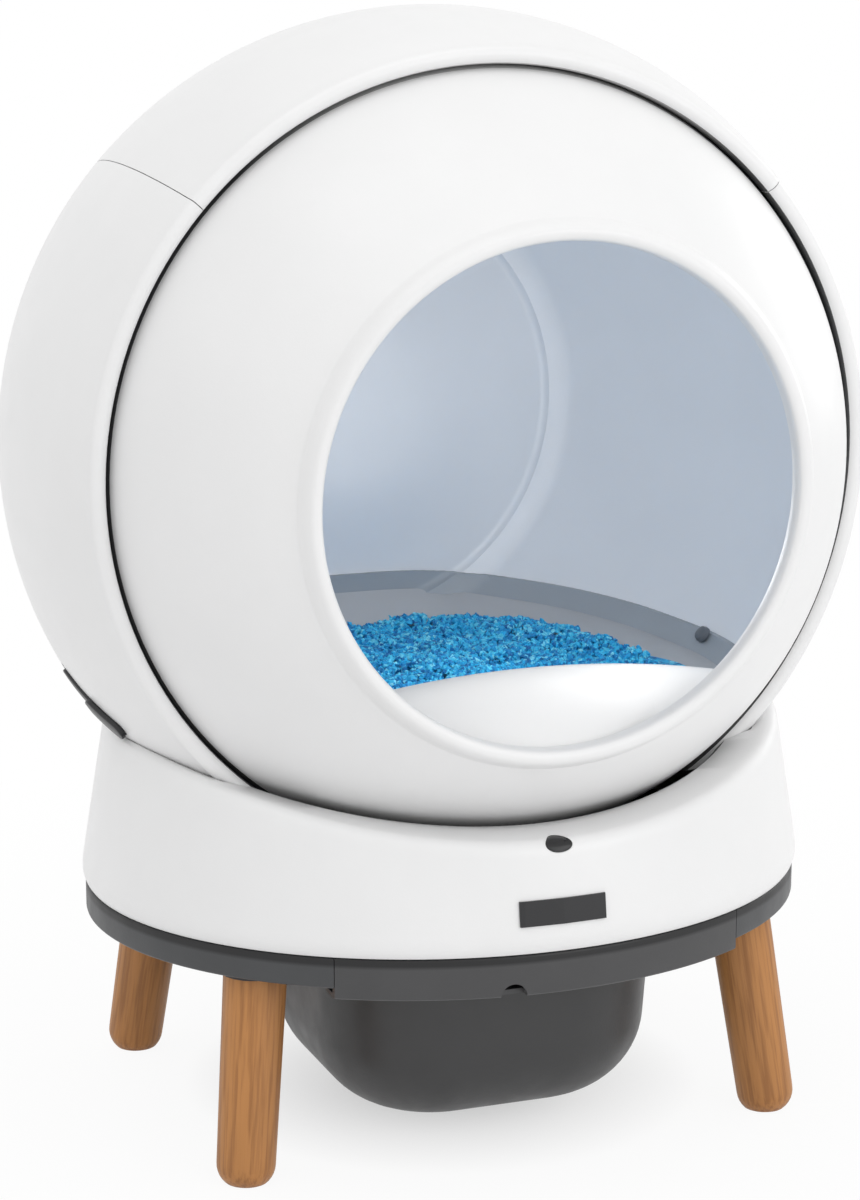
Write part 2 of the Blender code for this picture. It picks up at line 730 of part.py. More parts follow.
def make_front_shell():
    """The white dome with its rolled entry rim and the front roller track."""
    track_low, track_high = FRONT_TRACK - TRACK_WIDTH / 2, FRONT_TRACK + TRACK_WIDTH / 2
    rim_y = rim_outer_y()
    profile = [(ball_at(GLOBE_RADIUS, GLOBE_SETBACK, SHELL_SEAM), SHELL_SEAM),
               (TRACK_RADIUS, track_high), (TRACK_RADIUS, track_low)]
    profile += ball(DOME_RADIUS, GLOBE_SETBACK, track_low, rim_y, 6)
    for angle in arc(4, math.pi / 2, 0)[1:]:
        share = math.cos(angle)
        profile.append((OPENING_RADIUS + RIM_WIDTH * (1 - share * RIM_TURN_SHARE),
                        rim_y - RIM_PROUD * math.sin(math.pi / 2 * share)))
    front_y = rim_front_y()
    profile += [(OPENING_RADIUS, front_y + RIM_PROUD * RIM_EDGE_SHARE),
                (OPENING_RADIUS, front_y + RIM_DEPTH),
                (OPENING_RADIUS + RIM_WALL, front_y + RIM_DEPTH)]
    _, inner = globe_inside(0)
    profile += list(reversed(inner))
    profile.append((ball_at(GLOBE_RADIUS - GLOBE_WALL, GLOBE_SETBACK, SHELL_SEAM), SHELL_SEAM))
    turned("globe_front_shell", profile, on_axis(), SHELL_STEPS, WHITE)


def make_rear_shell():
    """The rear bowl of the globe: gear seat, rear track, dished back wall and waste port."""
    seam = SHELL_SEAM + GAP
    back = REAR_WALL + GLOBE_WALL
    boss = back - BOSS_DEPTH
    gear_low, gear_high = GEAR_MIDDLE - GEAR_WIDTH / 2, GEAR_MIDDLE + GEAR_WIDTH / 2
    track_low, track_high = REAR_TRACK - TRACK_WIDTH / 2, REAR_TRACK + TRACK_WIDTH / 2

    def at(y):
        return ball_at(GLOBE_RADIUS, GLOBE_SETBACK, y)

    profile = [(0, boss), (BOSS_RADIUS - BOSS_SLOPE / 2, boss), (BOSS_RADIUS + BOSS_SLOPE / 2, back),
               (REAR_FLAT_RADIUS, back)]
    profile += ball(GLOBE_RADIUS, GLOBE_SETBACK, back - REAR_EDGE / 2, gear_high, 4)
    profile += [(GEAR_SEAT_RADIUS, gear_high), (GEAR_SEAT_RADIUS, gear_low - GAP),
                (at(gear_low - GAP), gear_low - GAP), (at(track_high), track_high),
                (TRACK_RADIUS, track_high), (TRACK_RADIUS, track_low)]
    profile += ball(GLOBE_RADIUS, GLOBE_SETBACK, track_low, seam, 5)
    inner, _ = globe_inside(0)
    inner[-1] = (ball_at(GLOBE_RADIUS - GLOBE_WALL, GLOBE_SETBACK, seam), seam)
    profile += list(reversed(inner))
    shell = turned("globe_rear_shell", profile, on_axis(), SHELL_STEPS, PALE, closed=False)
    combine(shell, box("waste_port", (-PORT_HALF_WIDTH, PORT_FRONT, AXIS_HEIGHT + GLOBE_RADIUS / 2),
                       (PORT_HALF_WIDTH, PORT_REAR, AXIS_HEIGHT + GLOBE_RADIUS + OVERRUN)))


def gear_outline(teeth, turn):
    """Tooth tips and roots round a gear; the first tooth points along +X before it is turned."""
    pitch_radius = teeth * GEAR_MODULE / 2
    root = pitch_radius - TOOTH_ROOT_SHARE * GEAR_MODULE
    tip = pitch_radius + TOOTH_TIP_SHARE * GEAR_MODULE
    half_pitch = GEAR_MODULE * math.pi / 4 - GEAR_BACKLASH / 2
    root_half = (half_pitch + TOOTH_FOOT_SHARE * GEAR_MODULE) / root
    tip_half = (half_pitch - TOOTH_POINT_SHARE * GEAR_MODULE) / tip
    points = []
    for index in range(teeth):
        middle = turn + 2 * math.pi * index / teeth
        for radius, lean in ((root, -root_half), (tip, -tip_half), (tip, tip_half), (root, root_half)):
            points.append((radius * math.cos(middle + lean), radius * math.sin(middle + lean)))
    return points


def ring(radius, count):
    return [(radius * math.cos(2 * math.pi * i / count), radius * math.sin(2 * math.pi * i / count))
            for i in range(count)]


def make_ring_gear():
    """A tooth of the ring gear points at the pinion's middle."""
    turn = math.pi / 2 - PINION_ANGLE
    outline = gear_outline(GEAR_TEETH, turn)
    bore = ring((GEAR_SEAT_RADIUS + GAP) / math.cos(math.pi / SHELL_STEPS), SHELL_STEPS)
    plate("globe_ring_gear", [outline, bore], GEAR_WIDTH, on_axis(GEAR_MIDDLE), CHARCOAL)


def pinion_centre(y):
    distance = (GEAR_TEETH + PINION_TEETH) * GEAR_MODULE / 2
    return polar(PINION_ANGLE, distance, y)


def make_pinion():
    """Turned by half a tooth, so that a gap faces the ring gear's tooth."""
    centre = pinion_centre(GEAR_MIDDLE)
    turn = math.pi / 2 - PINION_ANGLE + math.pi + math.pi / PINION_TEETH
    place = Matrix.Translation(centre) @ SWAP_YZ
    pinion = plate("drive_pinion", [gear_outline(PINION_TEETH, turn)], GEAR_WIDTH, place, STEEL)
    start = pinion_centre(GEAR_MIDDLE - GEAR_WIDTH / 2 - SHAFT_LENGTH)
    combine(pinion, rod("pinion_shaft", start, centre, SHAFT_RADIUS, SMALL_STEPS), "UNION")


def make_bowl():
    """A grey lining below a rim that slopes down to the entry."""
    bowl = inside_solid("litter_bowl", GAP, GREY)
    combine(bowl, inside_solid("bowl_hollow", GAP + BOWL_WALL))
    combine(bowl, rim_block("above_bowl_rim"))


def rim_block(name):
    reach = HOUSING_RADIUS + OVERRUN
    turn = Matrix.Rotation(BOWL_RIM_SLOPE, 4, "X")
    place = Matrix.Translation((0, REAR_WALL, BOWL_RIM_HEIGHT)) @ turn
    return box(name, (-reach, -2 * reach, 0), (reach, reach, 2 * reach), place=place)


def make_litter():
    litter = inside_solid("litter_bed", 2 * GAP + BOWL_WALL, BLUE)
    reach = HOUSING_RADIUS + OVERRUN
    combine(litter, box("above_litter", (-reach, -reach, LITTER_HEIGHT),
                        (reach, reach, LITTER_HEIGHT + 2 * reach)))


def crest_height(x):
    """The sill's top edge is a shallow arch."""
    radius = SILL_CREST_RADIUS
    return SILL_CREST_HEIGHT - radius + math.sqrt(radius * radius - x * x)


def make_sill():
    """A folded sheet: up from the entry rim to an arched crest, then down behind it."""
    front_y = rim_front_y() + RIM_DEPTH + SILL_WALL
    top_y = rim_front_y() + SILL_CREST_BACK
    foot_y = rim_front_y() + SILL_FOOT_BACK
    bm = bmesh.new()
    bmesh.ops.create_grid(bm, x_segments=SILL_COLUMNS, y_segments=SILL_ROWS, size=1)
    for vert in bm.verts:
        x = vert.co.x * SILL_HALF_WIDTH
        along = (vert.co.y + 1) / 2
        crest = crest_height(x)
        rise = SILL_WALL
        path = ((front_y, SILL_LOW_HEIGHT), (top_y - rise, crest - rise / 2), (top_y, crest),
                (top_y + rise, crest - rise), (foot_y, SILL_FOOT_HEIGHT))
        fold = max(i for i, share in enumerate(SILL_FOLD_SHARES[:-1]) if share <= along)
        start, end = SILL_FOLD_SHARES[fold:fold + 2]
        share = (along - start) / (end - start)
        (y_a, z_a), (y_b, z_b) = path[fold:fold + 2]
        vert.co = (x, y_a + (y_b - y_a) * share, z_a + (z_b - z_a) * share)
    mesh = mesh_of(bm, "entry_sill")
    smooth(mesh)
    sill = add_object("entry_sill", mesh, WHITE)
    thick = sill.modifiers.new("thickness", "SOLIDIFY")
    thick.thickness = SILL_WALL
    thick.offset = 0
    combine(sill, inside_solid("sill_limit", GAP), "INTERSECT")


def lining_radius(y):
    """Radius of the bowl's inner side at y, read from its outline."""
    rear, _ = globe_inside(GAP + BOWL_WALL)
    for (radius_a, y_a), (radius_b, y_b) in zip(rear, rear[1:]):
        if y_b <= y <= y_a:
            return radius_a + (radius_b - radius_a) * (y_a - y) / (y_a - y_b)
    raise ValueError("no lining at this place")


def make_clips():
    """Knobs that hold the bowl in the globe, at both sides of its rim."""
    for side, word in ((-1, "left"), (1, "right")):
        drop = CLIP_DROP
        radius = lining_radius(CLIP_Y) * math.cos(math.pi / SHELL_STEPS)
        across = math.sqrt(radius * radius - drop * drop)
        surface = Vector((side * across, CLIP_Y, AXIS_HEIGHT - drop))
        centre = Vector((0, GLOBE_SETBACK, AXIS_HEIGHT))
        inward = (centre - surface).normalized()
        foot = surface + inward * 2 * GAP
        rod("bowl_clip_" + word, foot, foot + inward * CLIP_LENGTH, CLIP_RADIUS, ROUND_STEPS, BLACK)


def sieve_place():
    """Frame of the sieve: X along the globe's axis, Y up its slope, Z towards the middle."""
    radius = GLOBE_RADIUS - GLOBE_WALL
    low = polar(-SIEVE_LOW_ANGLE, radius, 0)
    high = polar(-SIEVE_HIGH_ANGLE, radius, 0)
    up = (high - low).normalized()
    along = Vector((0, 1, 0))
    place = Matrix((along, up, along.cross(up))).transposed().to_4x4()
    place.translation = (low + high) / 2
    return place, (high - low).length


def make_sieve():
    place, length = sieve_place()
    reach = GLOBE_RADIUS
    sieve = box("sifting_screen", (-reach, SIEVE_FOOT_GAP - length / 2, -SIEVE_WALL / 2),
                (reach, length / 2, SIEVE_WALL / 2), PALE, place)
    slots = []
    for index in range(SIEVE_SLOTS):
        x = (index - (SIEVE_SLOTS - 1) / 2) * SIEVE_PITCH
        for side in (-1, 1):
            middle = side * (SIEVE_SLOT_LENGTH + SIEVE_BRIDGE) / 2
            slots.append(((x - SIEVE_SLOT / 2, middle - SIEVE_SLOT_LENGTH / 2, -SIEVE_WALL),
                          (x + SIEVE_SLOT / 2, middle + SIEVE_SLOT_LENGTH / 2, SIEVE_WALL)))
    combine(sieve, many_boxes("sieve_slots", slots, place))
    combine(sieve, inside_solid("sieve_limit", GAP), "INTERSECT")


def make_magnet():
    radius = ball_at(GLOBE_RADIUS, GLOBE_SETBACK, MAGNET_Y) + GAP
    turn = Matrix.Rotation(MAGNET_ANGLE, 4, "Y")
    place = Matrix.Translation(polar(-MAGNET_ANGLE, radius, MAGNET_Y)) @ turn
    half = MAGNET_SIZE / 2
    box("home_magnet", (-half, -half, -MAGNET_THICK), (half, half, 0), STEEL, place)


# Base, legs and chassis

def make_base():
    base = base_solid("base_housing", 0, BASE_LOW - 2 * OVERRUN, BASE_HIGH, WHITE)
    combine(base, saddle_cylinder("saddle", 0))
    bevel = base.modifiers.new("edge", "BEVEL")
    bevel.width = BASE_ROUND
    bevel.segments = 3
    bevel.limit_method = "ANGLE"
    bevel.angle_limit = EDGE_ANGLE
    reach = BASE_HALF_WIDTH + OVERRUN
    combine(base, box("under_base", (-reach, -reach, 0), (reach, reach, BASE_LOW)))
    hollow = base_solid("base_hollow", -BASE_WALL, BASE_LOW - 2 * OVERRUN, BASE_HIGH)
    combine(hollow, saddle_cylinder("saddle_inside", BASE_WALL))
    combine(base, hollow)
    combine(base, globe_well())
    combine(base, sensor_hole(SENSOR_RADIUS + GAP))
    half = PANEL_TALL / 2
    combine(base, box("panel_window", (-PANEL_HALF_WIDTH, PANEL_Y - OVERRUN, PANEL_HEIGHT - half),
                      (PANEL_HALF_WIDTH, HALF_DEPTH + OVERRUN, PANEL_HEIGHT + half)))
    combine(base, rod("inlet_hole", (INLET_X, INLET_FACE_Y - 2 * OVERRUN, INLET_HEIGHT),
                      (INLET_X, HALF_DEPTH + OVERRUN, INLET_HEIGHT), INLET_RADIUS + GAP, ROUND_STEPS))


def globe_well():
    """What the housing and the dome take out of the base, with a gap all round."""
    housing = HOUSING_RADIUS + RUNNING_GAP
    dome = DOME_RADIUS + DOME_GAP
    lip = -LIP_FRONT - RUNNING_GAP
    profile = [(0, HOUSING_SETBACK + housing)]
    profile += ball(housing, HOUSING_SETBACK, HOUSING_SETBACK + housing, lip,
                    WELL_ARC_POINTS)[1:]
    profile += ball(dome, GLOBE_SETBACK, lip, GLOBE_SETBACK - dome, WELL_ARC_POINTS)
    profile[-1] = (0, GLOBE_SETBACK - dome)
    return turned("globe_well", profile, on_axis(), SHELL_STEPS, closed=False)


def make_chassis():
    top = BASE_LOW - GAP
    floor = CHASSIS_LOW + CHASSIS_FLOOR
    chassis = chassis_solid("chassis_tray", CHASSIS_INSET, CHASSIS_LOW, top, CHARCOAL)
    combine(chassis, chassis_solid("tray_hollow", CHASSIS_INSET + CHASSIS_WALL, floor, top + OVERRUN))
    half = DRAWER_HALF_WIDTH + GAP
    combine(chassis, box("drawer_gate", (-half, -BASE_HALF_DEPTH - OVERRUN, CHASSIS_LOW - OVERRUN),
                         (half, DRAWER_BACK_Y, top + OVERRUN)))
    combine(chassis, box("chute_hole", (-CHUTE_HALF_WIDTH, CHUTE_FRONT, CHASSIS_LOW - OVERRUN),
                         (CHUTE_HALF_WIDTH, CHUTE_REAR, floor + OVERRUN)))


def make_legs():
    plate_top = CHASSIS_LOW - GAP
    plate_low = plate_top - LEG_PLATE_THICK
    leg_top = plate_low - GAP
    for x_side, x_word in ((-1, "left"), (1, "right")):
        for y_side, y_word in ((-1, "front"), (1, "rear")):
            word = y_word + "_" + x_word
            down = Vector((x_side * LEG_SPLAY_X, y_side * LEG_SPLAY_Y, -1)).normalized()
            foot = Vector((x_side * LEG_FOOT_X, y_side * LEG_FOOT_Y, 0))
            length = leg_top / -down.z
            profile = leg_profile(length)
            turn = (-down).to_track_quat("Z", "Y").to_matrix().to_4x4()
            leg = turned("leg_" + word, profile, Matrix.Translation(foot) @ turn, LEG_STEPS, WOOD,
                         closed=False)
            reach = LEG_TOP_RADIUS + OVERRUN
            combine(leg, box("floor_" + word, (foot.x - reach, foot.y - reach, -OVERRUN),
                             (foot.x + reach, foot.y + reach, 0)))
            head = foot - down * length
            combine(leg, box("ceiling_" + word, (head.x - reach, head.y - reach, leg_top),
                             (head.x + reach, head.y + reach, leg_top + OVERRUN)))
            rod("leg_plate_" + word, (head.x, head.y, plate_low), (head.x, head.y, plate_top),
                LEG_PLATE_RADIUS, LEG_STEPS, BLACK)


def leg_profile(length):
    """Straight taper from the top, with a rounded end that the floor cuts flat."""
    low = -LEG_ROUND / 4
    top = length + OVERRUN / 2
    round_y = low + LEG_ROUND
    profile = [(0, top), (LEG_TOP_RADIUS, top), (LEG_LOW_RADIUS, round_y)]
    for angle in arc(5, 0, math.pi / 2)[1:]:
        profile.append((LEG_LOW_RADIUS - LEG_ROUND * (1 - math.cos(angle)),
                        round_y - LEG_ROUND * math.sin(angle)))
    profile.append((0, low))
    return profile


def sensor_frame():
    return Matrix.Translation((0, SENSOR_Y, SENSOR_HEIGHT)) @ Matrix.Rotation(SENSOR_TILT, 4, "X")


def sensor_hole(radius):
    place = sensor_frame()
    return rod("sensor_hole", place @ Vector((0, 0, -OVERRUN)), place @ Vector((0, 0, OVERRUN)),
               radius, ROUND_STEPS)


def make_sensor():
    place = sensor_frame()
    rod("sensor_window", place @ Vector((0, 0, -SENSOR_LENGTH)), place @ Vector((0, 0, 0)),
        SENSOR_RADIUS, ROUND_STEPS, SMOKED)
    half_x, half_y, thick = SENSOR_BOARD[0] / 2, SENSOR_BOARD[1] / 2, SENSOR_BOARD[2]
    top = -SENSOR_LENGTH - GAP
    box("sensor_board", (-half_x, -half_y, top - thick), (half_x, half_y, top), BOARD, place)


def make_badge():
    """A bare plate that follows the base's curved front."""
    low, high = BADGE_HEIGHT - BADGE_TALL / 2, BADGE_HEIGHT + BADGE_TALL / 2
    badge = base_solid("badge_plate", BADGE_THICK + GAP, BASE_LOW, BASE_HIGH, BLACK)
    combine(badge, base_solid("badge_back", GAP, BASE_LOW - OVERRUN, BASE_HIGH + OVERRUN))
    combine(badge, box("badge_limit", (-BADGE_WIDTH / 2, -BASE_HALF_DEPTH - OVERRUN, low),
                       (BADGE_WIDTH / 2, 0, high)), "INTERSECT")


# Waste drawer

def make_drawer():
    top = BASE_LOW - GAP
    front = chassis_solid("drawer_front", CHASSIS_INSET, DRAWER_LOW, top, CHARCOAL)
    combine(front, chassis_solid("drawer_front_hollow", CHASSIS_INSET + DRAWER_WALL,
                                 DRAWER_LOW + FLANGE_THICK, top + OVERRUN))
    combine(front, box("drawer_front_limit",
                       (-DRAWER_HALF_WIDTH, -BASE_HALF_DEPTH - OVERRUN, DRAWER_LOW - OVERRUN),
                       (DRAWER_HALF_WIDTH, DRAWER_BACK_Y - GAP, top + OVERRUN)), "INTERSECT")
    combine(front, rod("finger_notch", (NOTCH_X, -BASE_HALF_DEPTH - OVERRUN, DRAWER_LOW),
                       (NOTCH_X, NOTCH_DEPTH - BASE_HALF_DEPTH, DRAWER_LOW), NOTCH_RADIUS, ROUND_STEPS))


def tub_mesh(name, shrink, low, high, material=None):
    """A tapered box with round corners and a strongly rounded bottom, its wall moved in by shrink."""
    middle = (TUB_FRONT + TUB_REAR) / 2
    half_length = (TUB_REAR - TUB_FRONT) / 2
    tub_top = DRAWER_LOW + FLANGE_THICK
    bm = bmesh.new()
    bmesh.ops.create_cube(bm, size=1)
    for vert in bm.verts:
        z = low if vert.co.z < 0 else high
        share = 1 - (1 - TUB_TAPER_SHARE) * (tub_top - z) / (tub_top - TUB_LOW)
        vert.co = (2 * vert.co.x * (TUB_HALF_WIDTH * share - shrink),
                   middle + 2 * vert.co.y * (half_length * share - shrink), z)
    upright = [e for e in bm.edges if abs(e.verts[0].co.z - e.verts[1].co.z) > (high - low) / 2]
    bmesh.ops.bevel(bm, geom=upright, offset=TUB_CORNER - shrink, segments=6, affect="EDGES",
                    profile=TUB_ROUND_SHARE)
    bottom = [e for e in bm.edges if max(e.verts[0].co.z, e.verts[1].co.z) < low + MERGE]
    bottom_round = min(TUB_BOTTOM_ROUND, TUB_ROUND_LIMIT_SHARE * (tub_top - TUB_LOW))
    bmesh.ops.bevel(bm, geom=bottom, offset=bottom_round - shrink, segments=6, affect="EDGES",
                    profile=TUB_ROUND_SHARE)
    mesh = mesh_of(bm, name)
    smooth(mesh)
    return add_object(name, mesh, material)


def make_bin():
    """The tub hangs from a flange that slides on the rails."""
    flange_low = DRAWER_LOW
    flange_top = flange_low + FLANGE_THICK
    tub = tub_mesh("waste_bin", 0, TUB_LOW, flange_top, CHARCOAL)
    combine(tub, box("bin_flange", (-FLANGE_HALF_WIDTH, DRAWER_BACK_Y, flange_low),
                     (FLANGE_HALF_WIDTH, FLANGE_REAR, flange_top)), "UNION")
    combine(tub, tub_mesh("bin_hollow", TUB_WALL, TUB_LOW + TUB_WALL, flange_top + OVERRUN))


def make_liner_ring():
    """A loose frame in the tub's mouth that holds the bag."""
    top = DRAWER_LOW + FLANGE_THICK
    ring_solid = tub_mesh("bag_ring", TUB_WALL + GAP, TUB_LOW, top, PALE)
    combine(ring_solid, tub_mesh("bag_ring_hollow", TUB_WALL + GAP + LINER_WALL,
                                 TUB_LOW - OVERRUN, top + OVERRUN))
    reach = BASE_HALF_WIDTH
    combine(ring_solid, box("below_bag_ring", (-reach, -reach, 0), (reach, reach, top - LINER_TALL)))


def make_rails():
    top = CHASSIS_LOW - GAP
    lip_top = DRAWER_LOW - GAP
    lip_low = lip_top - RAIL_WALL
    inner = FLANGE_HALF_WIDTH + GAP
    for side, word in ((-1, "left"), (1, "right")):
        outline = [(inner, top), (inner + RAIL_WALL, top), (inner + RAIL_WALL, lip_low),
                   (inner - RAIL_LIP, lip_low), (inner - RAIL_LIP, lip_top), (inner, lip_top)]
        outline = [(side * x, z) for x, z in outline]
        length = FLANGE_REAR - DRAWER_BACK_Y
        middle = Matrix.Translation((0, (FLANGE_REAR + DRAWER_BACK_Y) / 2, 0))
        place = middle @ Matrix.Rotation(math.pi / 2, 4, "X")
        plate("bin_rail_" + word, [outline], length, place, CHARCOAL)


# Inside the base

def make_chute():
    low = CHASSIS_LOW + CHASSIS_FLOOR + GAP
    outer = CHUTE_WALL
    chute = box("waste_chute", (-CHUTE_HALF_WIDTH - outer, CHUTE_FRONT - outer, low),
                (CHUTE_HALF_WIDTH + outer, CHUTE_REAR + outer, CHUTE_TOP), CHARCOAL)
    combine(chute, box("chute_hollow", (-CHUTE_HALF_WIDTH, CHUTE_FRONT, low - OVERRUN),
                       (CHUTE_HALF_WIDTH, CHUTE_REAR, CHUTE_TOP + OVERRUN)))


def roller_centre(side, y):
    return polar(side * ROLLER_ANGLE, TRACK_RADIUS + GAP + ROLLER_RADIUS, y)


def make_rollers():
    half = ROLLER_WIDTH / 2
    reach = half + RUNNING_GAP + AXLE_STUB
    profile = [(0, reach), (AXLE_RADIUS, reach), (AXLE_RADIUS, half), (ROLLER_RADIUS, half),
               (ROLLER_RADIUS, -half), (AXLE_RADIUS, -half), (AXLE_RADIUS, -reach), (0, -reach)]
    for side, x_word in ((-1, "left"), (1, "right")):
        for y, y_word in ((FRONT_TRACK, "front"), (REAR_TRACK, "rear")):
            place = Matrix.Translation(roller_centre(side, y)) @ SWAP_YZ
            turned("support_roller_%s_%s" % (y_word, x_word), profile, place, ROUND_STEPS, RUBBER,
                   closed=False)


def make_roller_brackets():
    low = CHASSIS_LOW + CHASSIS_FLOOR + GAP
    for side, word in ((-1, "left"), (1, "right")):
        axle = roller_centre(side, 0)
        cheek_gap = ROLLER_WIDTH / 2 + RUNNING_GAP
        front = FRONT_TRACK - cheek_gap - CHEEK_WALL
        rear = REAR_TRACK + cheek_gap + CHEEK_WALL
        bracket = box("roller_bracket_" + word, (axle.x - CHEEK_HALF_WIDTH, front, low),
                      (axle.x + CHEEK_HALF_WIDTH, rear, low + CHEEK_WALL), STEEL)
        for index, track in enumerate((FRONT_TRACK, REAR_TRACK)):
            for step, face in enumerate((track - cheek_gap - CHEEK_WALL, track + cheek_gap)):
                cheek = box("cheek_%s_%d_%d" % (word, index, step),
                            (axle.x - CHEEK_HALF_WIDTH, face, low),
                            (axle.x + CHEEK_HALF_WIDTH, face + CHEEK_WALL, axle.z + CHEEK_ABOVE_AXLE))
                combine(bracket, cheek, "UNION")
        combine(bracket, rod("axle_holes_" + word, (axle.x, front - OVERRUN, axle.z),
                             (axle.x, rear + OVERRUN, axle.z), AXLE_RADIUS + GAP, SMALL_STEPS))


def make_motor():
    low = CHASSIS_LOW + CHASSIS_FLOOR + GAP
    face_y = GEAR_MIDDLE - GEAR_WIDTH / 2 - RUNNING_GAP - GAP
    shaft = pinion_centre(0)
    bracket = box("motor_bracket", (shaft.x - BRACKET_HALF_WIDTH, face_y - BRACKET_WALL, low),
                  (shaft.x + BRACKET_HALF_WIDTH, face_y, shaft.z + BRACKET_ABOVE_SHAFT), STEEL)
    foot = box("bracket_foot", (shaft.x - BRACKET_HALF_WIDTH, face_y - BRACKET_FOOT_DEPTH, low),
               (shaft.x + BRACKET_HALF_WIDTH, face_y, low + BRACKET_WALL))
    combine(bracket, foot, "UNION")
    combine(bracket, rod("bracket_bore", (shaft.x, face_y - OVERRUN, shaft.z),
                         (shaft.x, face_y + OVERRUN, shaft.z), SHAFT_RADIUS + GAP, SMALL_STEPS))
    front = face_y - BRACKET_WALL - GAP
    bore = SHAFT_RADIUS + GAP
    can_y = MOTOR_CAN_LENGTH - MOTOR_LENGTH
    profile = [(0, -SHAFT_LENGTH), (bore, -SHAFT_LENGTH), (bore, 0), (MOTOR_RADIUS, 0),
               (MOTOR_RADIUS, can_y), (MOTOR_CAN_RADIUS, can_y), (MOTOR_CAN_RADIUS, -MOTOR_LENGTH),
               (0, -MOTOR_LENGTH)]
    turned("drive_motor", profile, Matrix.Translation((shaft.x, front, shaft.z)) @ SWAP_YZ,
           2 * SMALL_STEPS, STEEL, closed=False)


def make_boards():
    floor = CHASSIS_LOW + CHASSIS_FLOOR + GAP
    low = floor + BOARD_FOOT_TALL
    board = box("control_board", (*BOARD_LOW, low), (*BOARD_HIGH, low + BOARD_THICK), BOARD)
    inset = 2 * BOARD_FOOT_RADIUS
    (x_low, y_low), (x_high, y_high) = BOARD_LOW, BOARD_HIGH
    for x in (x_low + inset, x_high - inset):
        for y in (y_low + inset, y_high - inset):
            foot = rod("board_foot", (x, y, floor), (x, y, low + BOARD_THICK / 2), BOARD_FOOT_RADIUS,
                       SMALL_STEPS)
            combine(board, foot, "UNION")
    middle = Vector(((x_low + x_high) / 2, (y_low + y_high) / 2, low + BOARD_THICK))
    wide, deep, tall = CHIP_SIZE
    chip = box("board_chip", middle - Vector((wide, deep, BOARD_THICK)) / 2,
               middle + Vector((wide / 2, deep / 2, tall)))
    combine(board, chip, "UNION")
    box("hall_sensor", (HALL_X - HALL_HALF_WIDTH, MAGNET_Y - HALL_HALF_WIDTH, floor),
        (HALL_X + HALL_HALF_WIDTH, MAGNET_Y + HALL_HALF_WIDTH, HALL_TOP), BLACK)
    top = CHASSIS_LOW - GAP
    wide, deep, tall = SWITCH_SIZE
    front = FLANGE_REAR + GAP
    box("bin_switch", (-wide / 2, front, top - tall), (wide / 2, front + deep, top), BLACK)


def make_panel():
    """Control panel behind the window in the back of the base."""
    half_x, half_z = PANEL_HALF_WIDTH + PANEL_BORDER, PANEL_TALL / 2 + PANEL_BORDER
    panel = box("control_panel", (-half_x, PANEL_Y, PANEL_HEIGHT - half_z),
                (half_x, PANEL_Y + PANEL_THICK, PANEL_HEIGHT + half_z), BLACK)
    for index, word in enumerate(("level", "clean", "power")):
        x = BUTTON_X + (index - 1) * BUTTON_PITCH
        start = (x, PANEL_Y + PANEL_THICK + BUTTON_PROUD - BUTTON_LENGTH, PANEL_HEIGHT)
        end = (x, PANEL_Y + PANEL_THICK + BUTTON_PROUD, PANEL_HEIGHT)
        combine(panel, rod("button_hole_" + word, (x, PANEL_Y - OVERRUN, PANEL_HEIGHT),
                           (x, PANEL_Y + OVERRUN, PANEL_HEIGHT), BUTTON_RADIUS + GAP, ROUND_STEPS))
        rod(word + "_button", start, end, BUTTON_RADIUS, ROUND_STEPS, PALE)
    combine(panel, rod("light_hole", (LIGHT_X, PANEL_Y - OVERRUN, PANEL_HEIGHT),
                       (LIGHT_X, PANEL_Y + OVERRUN, PANEL_HEIGHT), LIGHT_RADIUS + GAP, SMALL_STEPS))
    rod("status_light", (LIGHT_X, PANEL_Y, PANEL_HEIGHT),
        (LIGHT_X, PANEL_Y + PANEL_THICK + GAP, PANEL_HEIGHT), LIGHT_RADIUS, SMALL_STEPS, SMOKED)
    inlet = rod("power_inlet", (INLET_X, INLET_FACE_Y - INLET_LENGTH, INLET_HEIGHT),
                (INLET_X, INLET_FACE_Y, INLET_HEIGHT), INLET_RADIUS, ROUND_STEPS, BLACK)
    combine(inlet, rod("inlet_socket", (INLET_X, INLET_FACE_Y - INLET_SOCKET_DEPTH, INLET_HEIGHT),
                       (INLET_X, INLET_FACE_Y + OVERRUN, INLET_HEIGHT), INLET_SOCKET_RADIUS,
                       SMALL_STEPS))


def main():
    make_housing()
    make_top_cover()
    make_rear_cover()
    make_filter()
    make_front_shell()
    make_rear_shell()
    make_ring_gear()
    make_pinion()
    make_bowl()
    make_litter()
    make_sill()
    make_clips()
    make_sieve()
    make_magnet()
    make_base()
    make_chassis()
    make_legs()
    make_sensor()
    make_badge()
    make_drawer()
    make_bin()
    make_liner_ring()
    make_rails()
    make_chute()
    make_rollers()
    make_roller_brackets()
    make_motor()
    make_boards()
    make_panel()


main()
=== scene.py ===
"""Looks of the self cleaning litter box: smooth shells, litter granules, oiled wood and plastics.

Metres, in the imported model's frame: +Z up, the entry faces -Y, the globe's axis lies along Y.
"""

import json
import math

import bmesh
import bpy
import numpy as np
from mathutils import Matrix, Vector

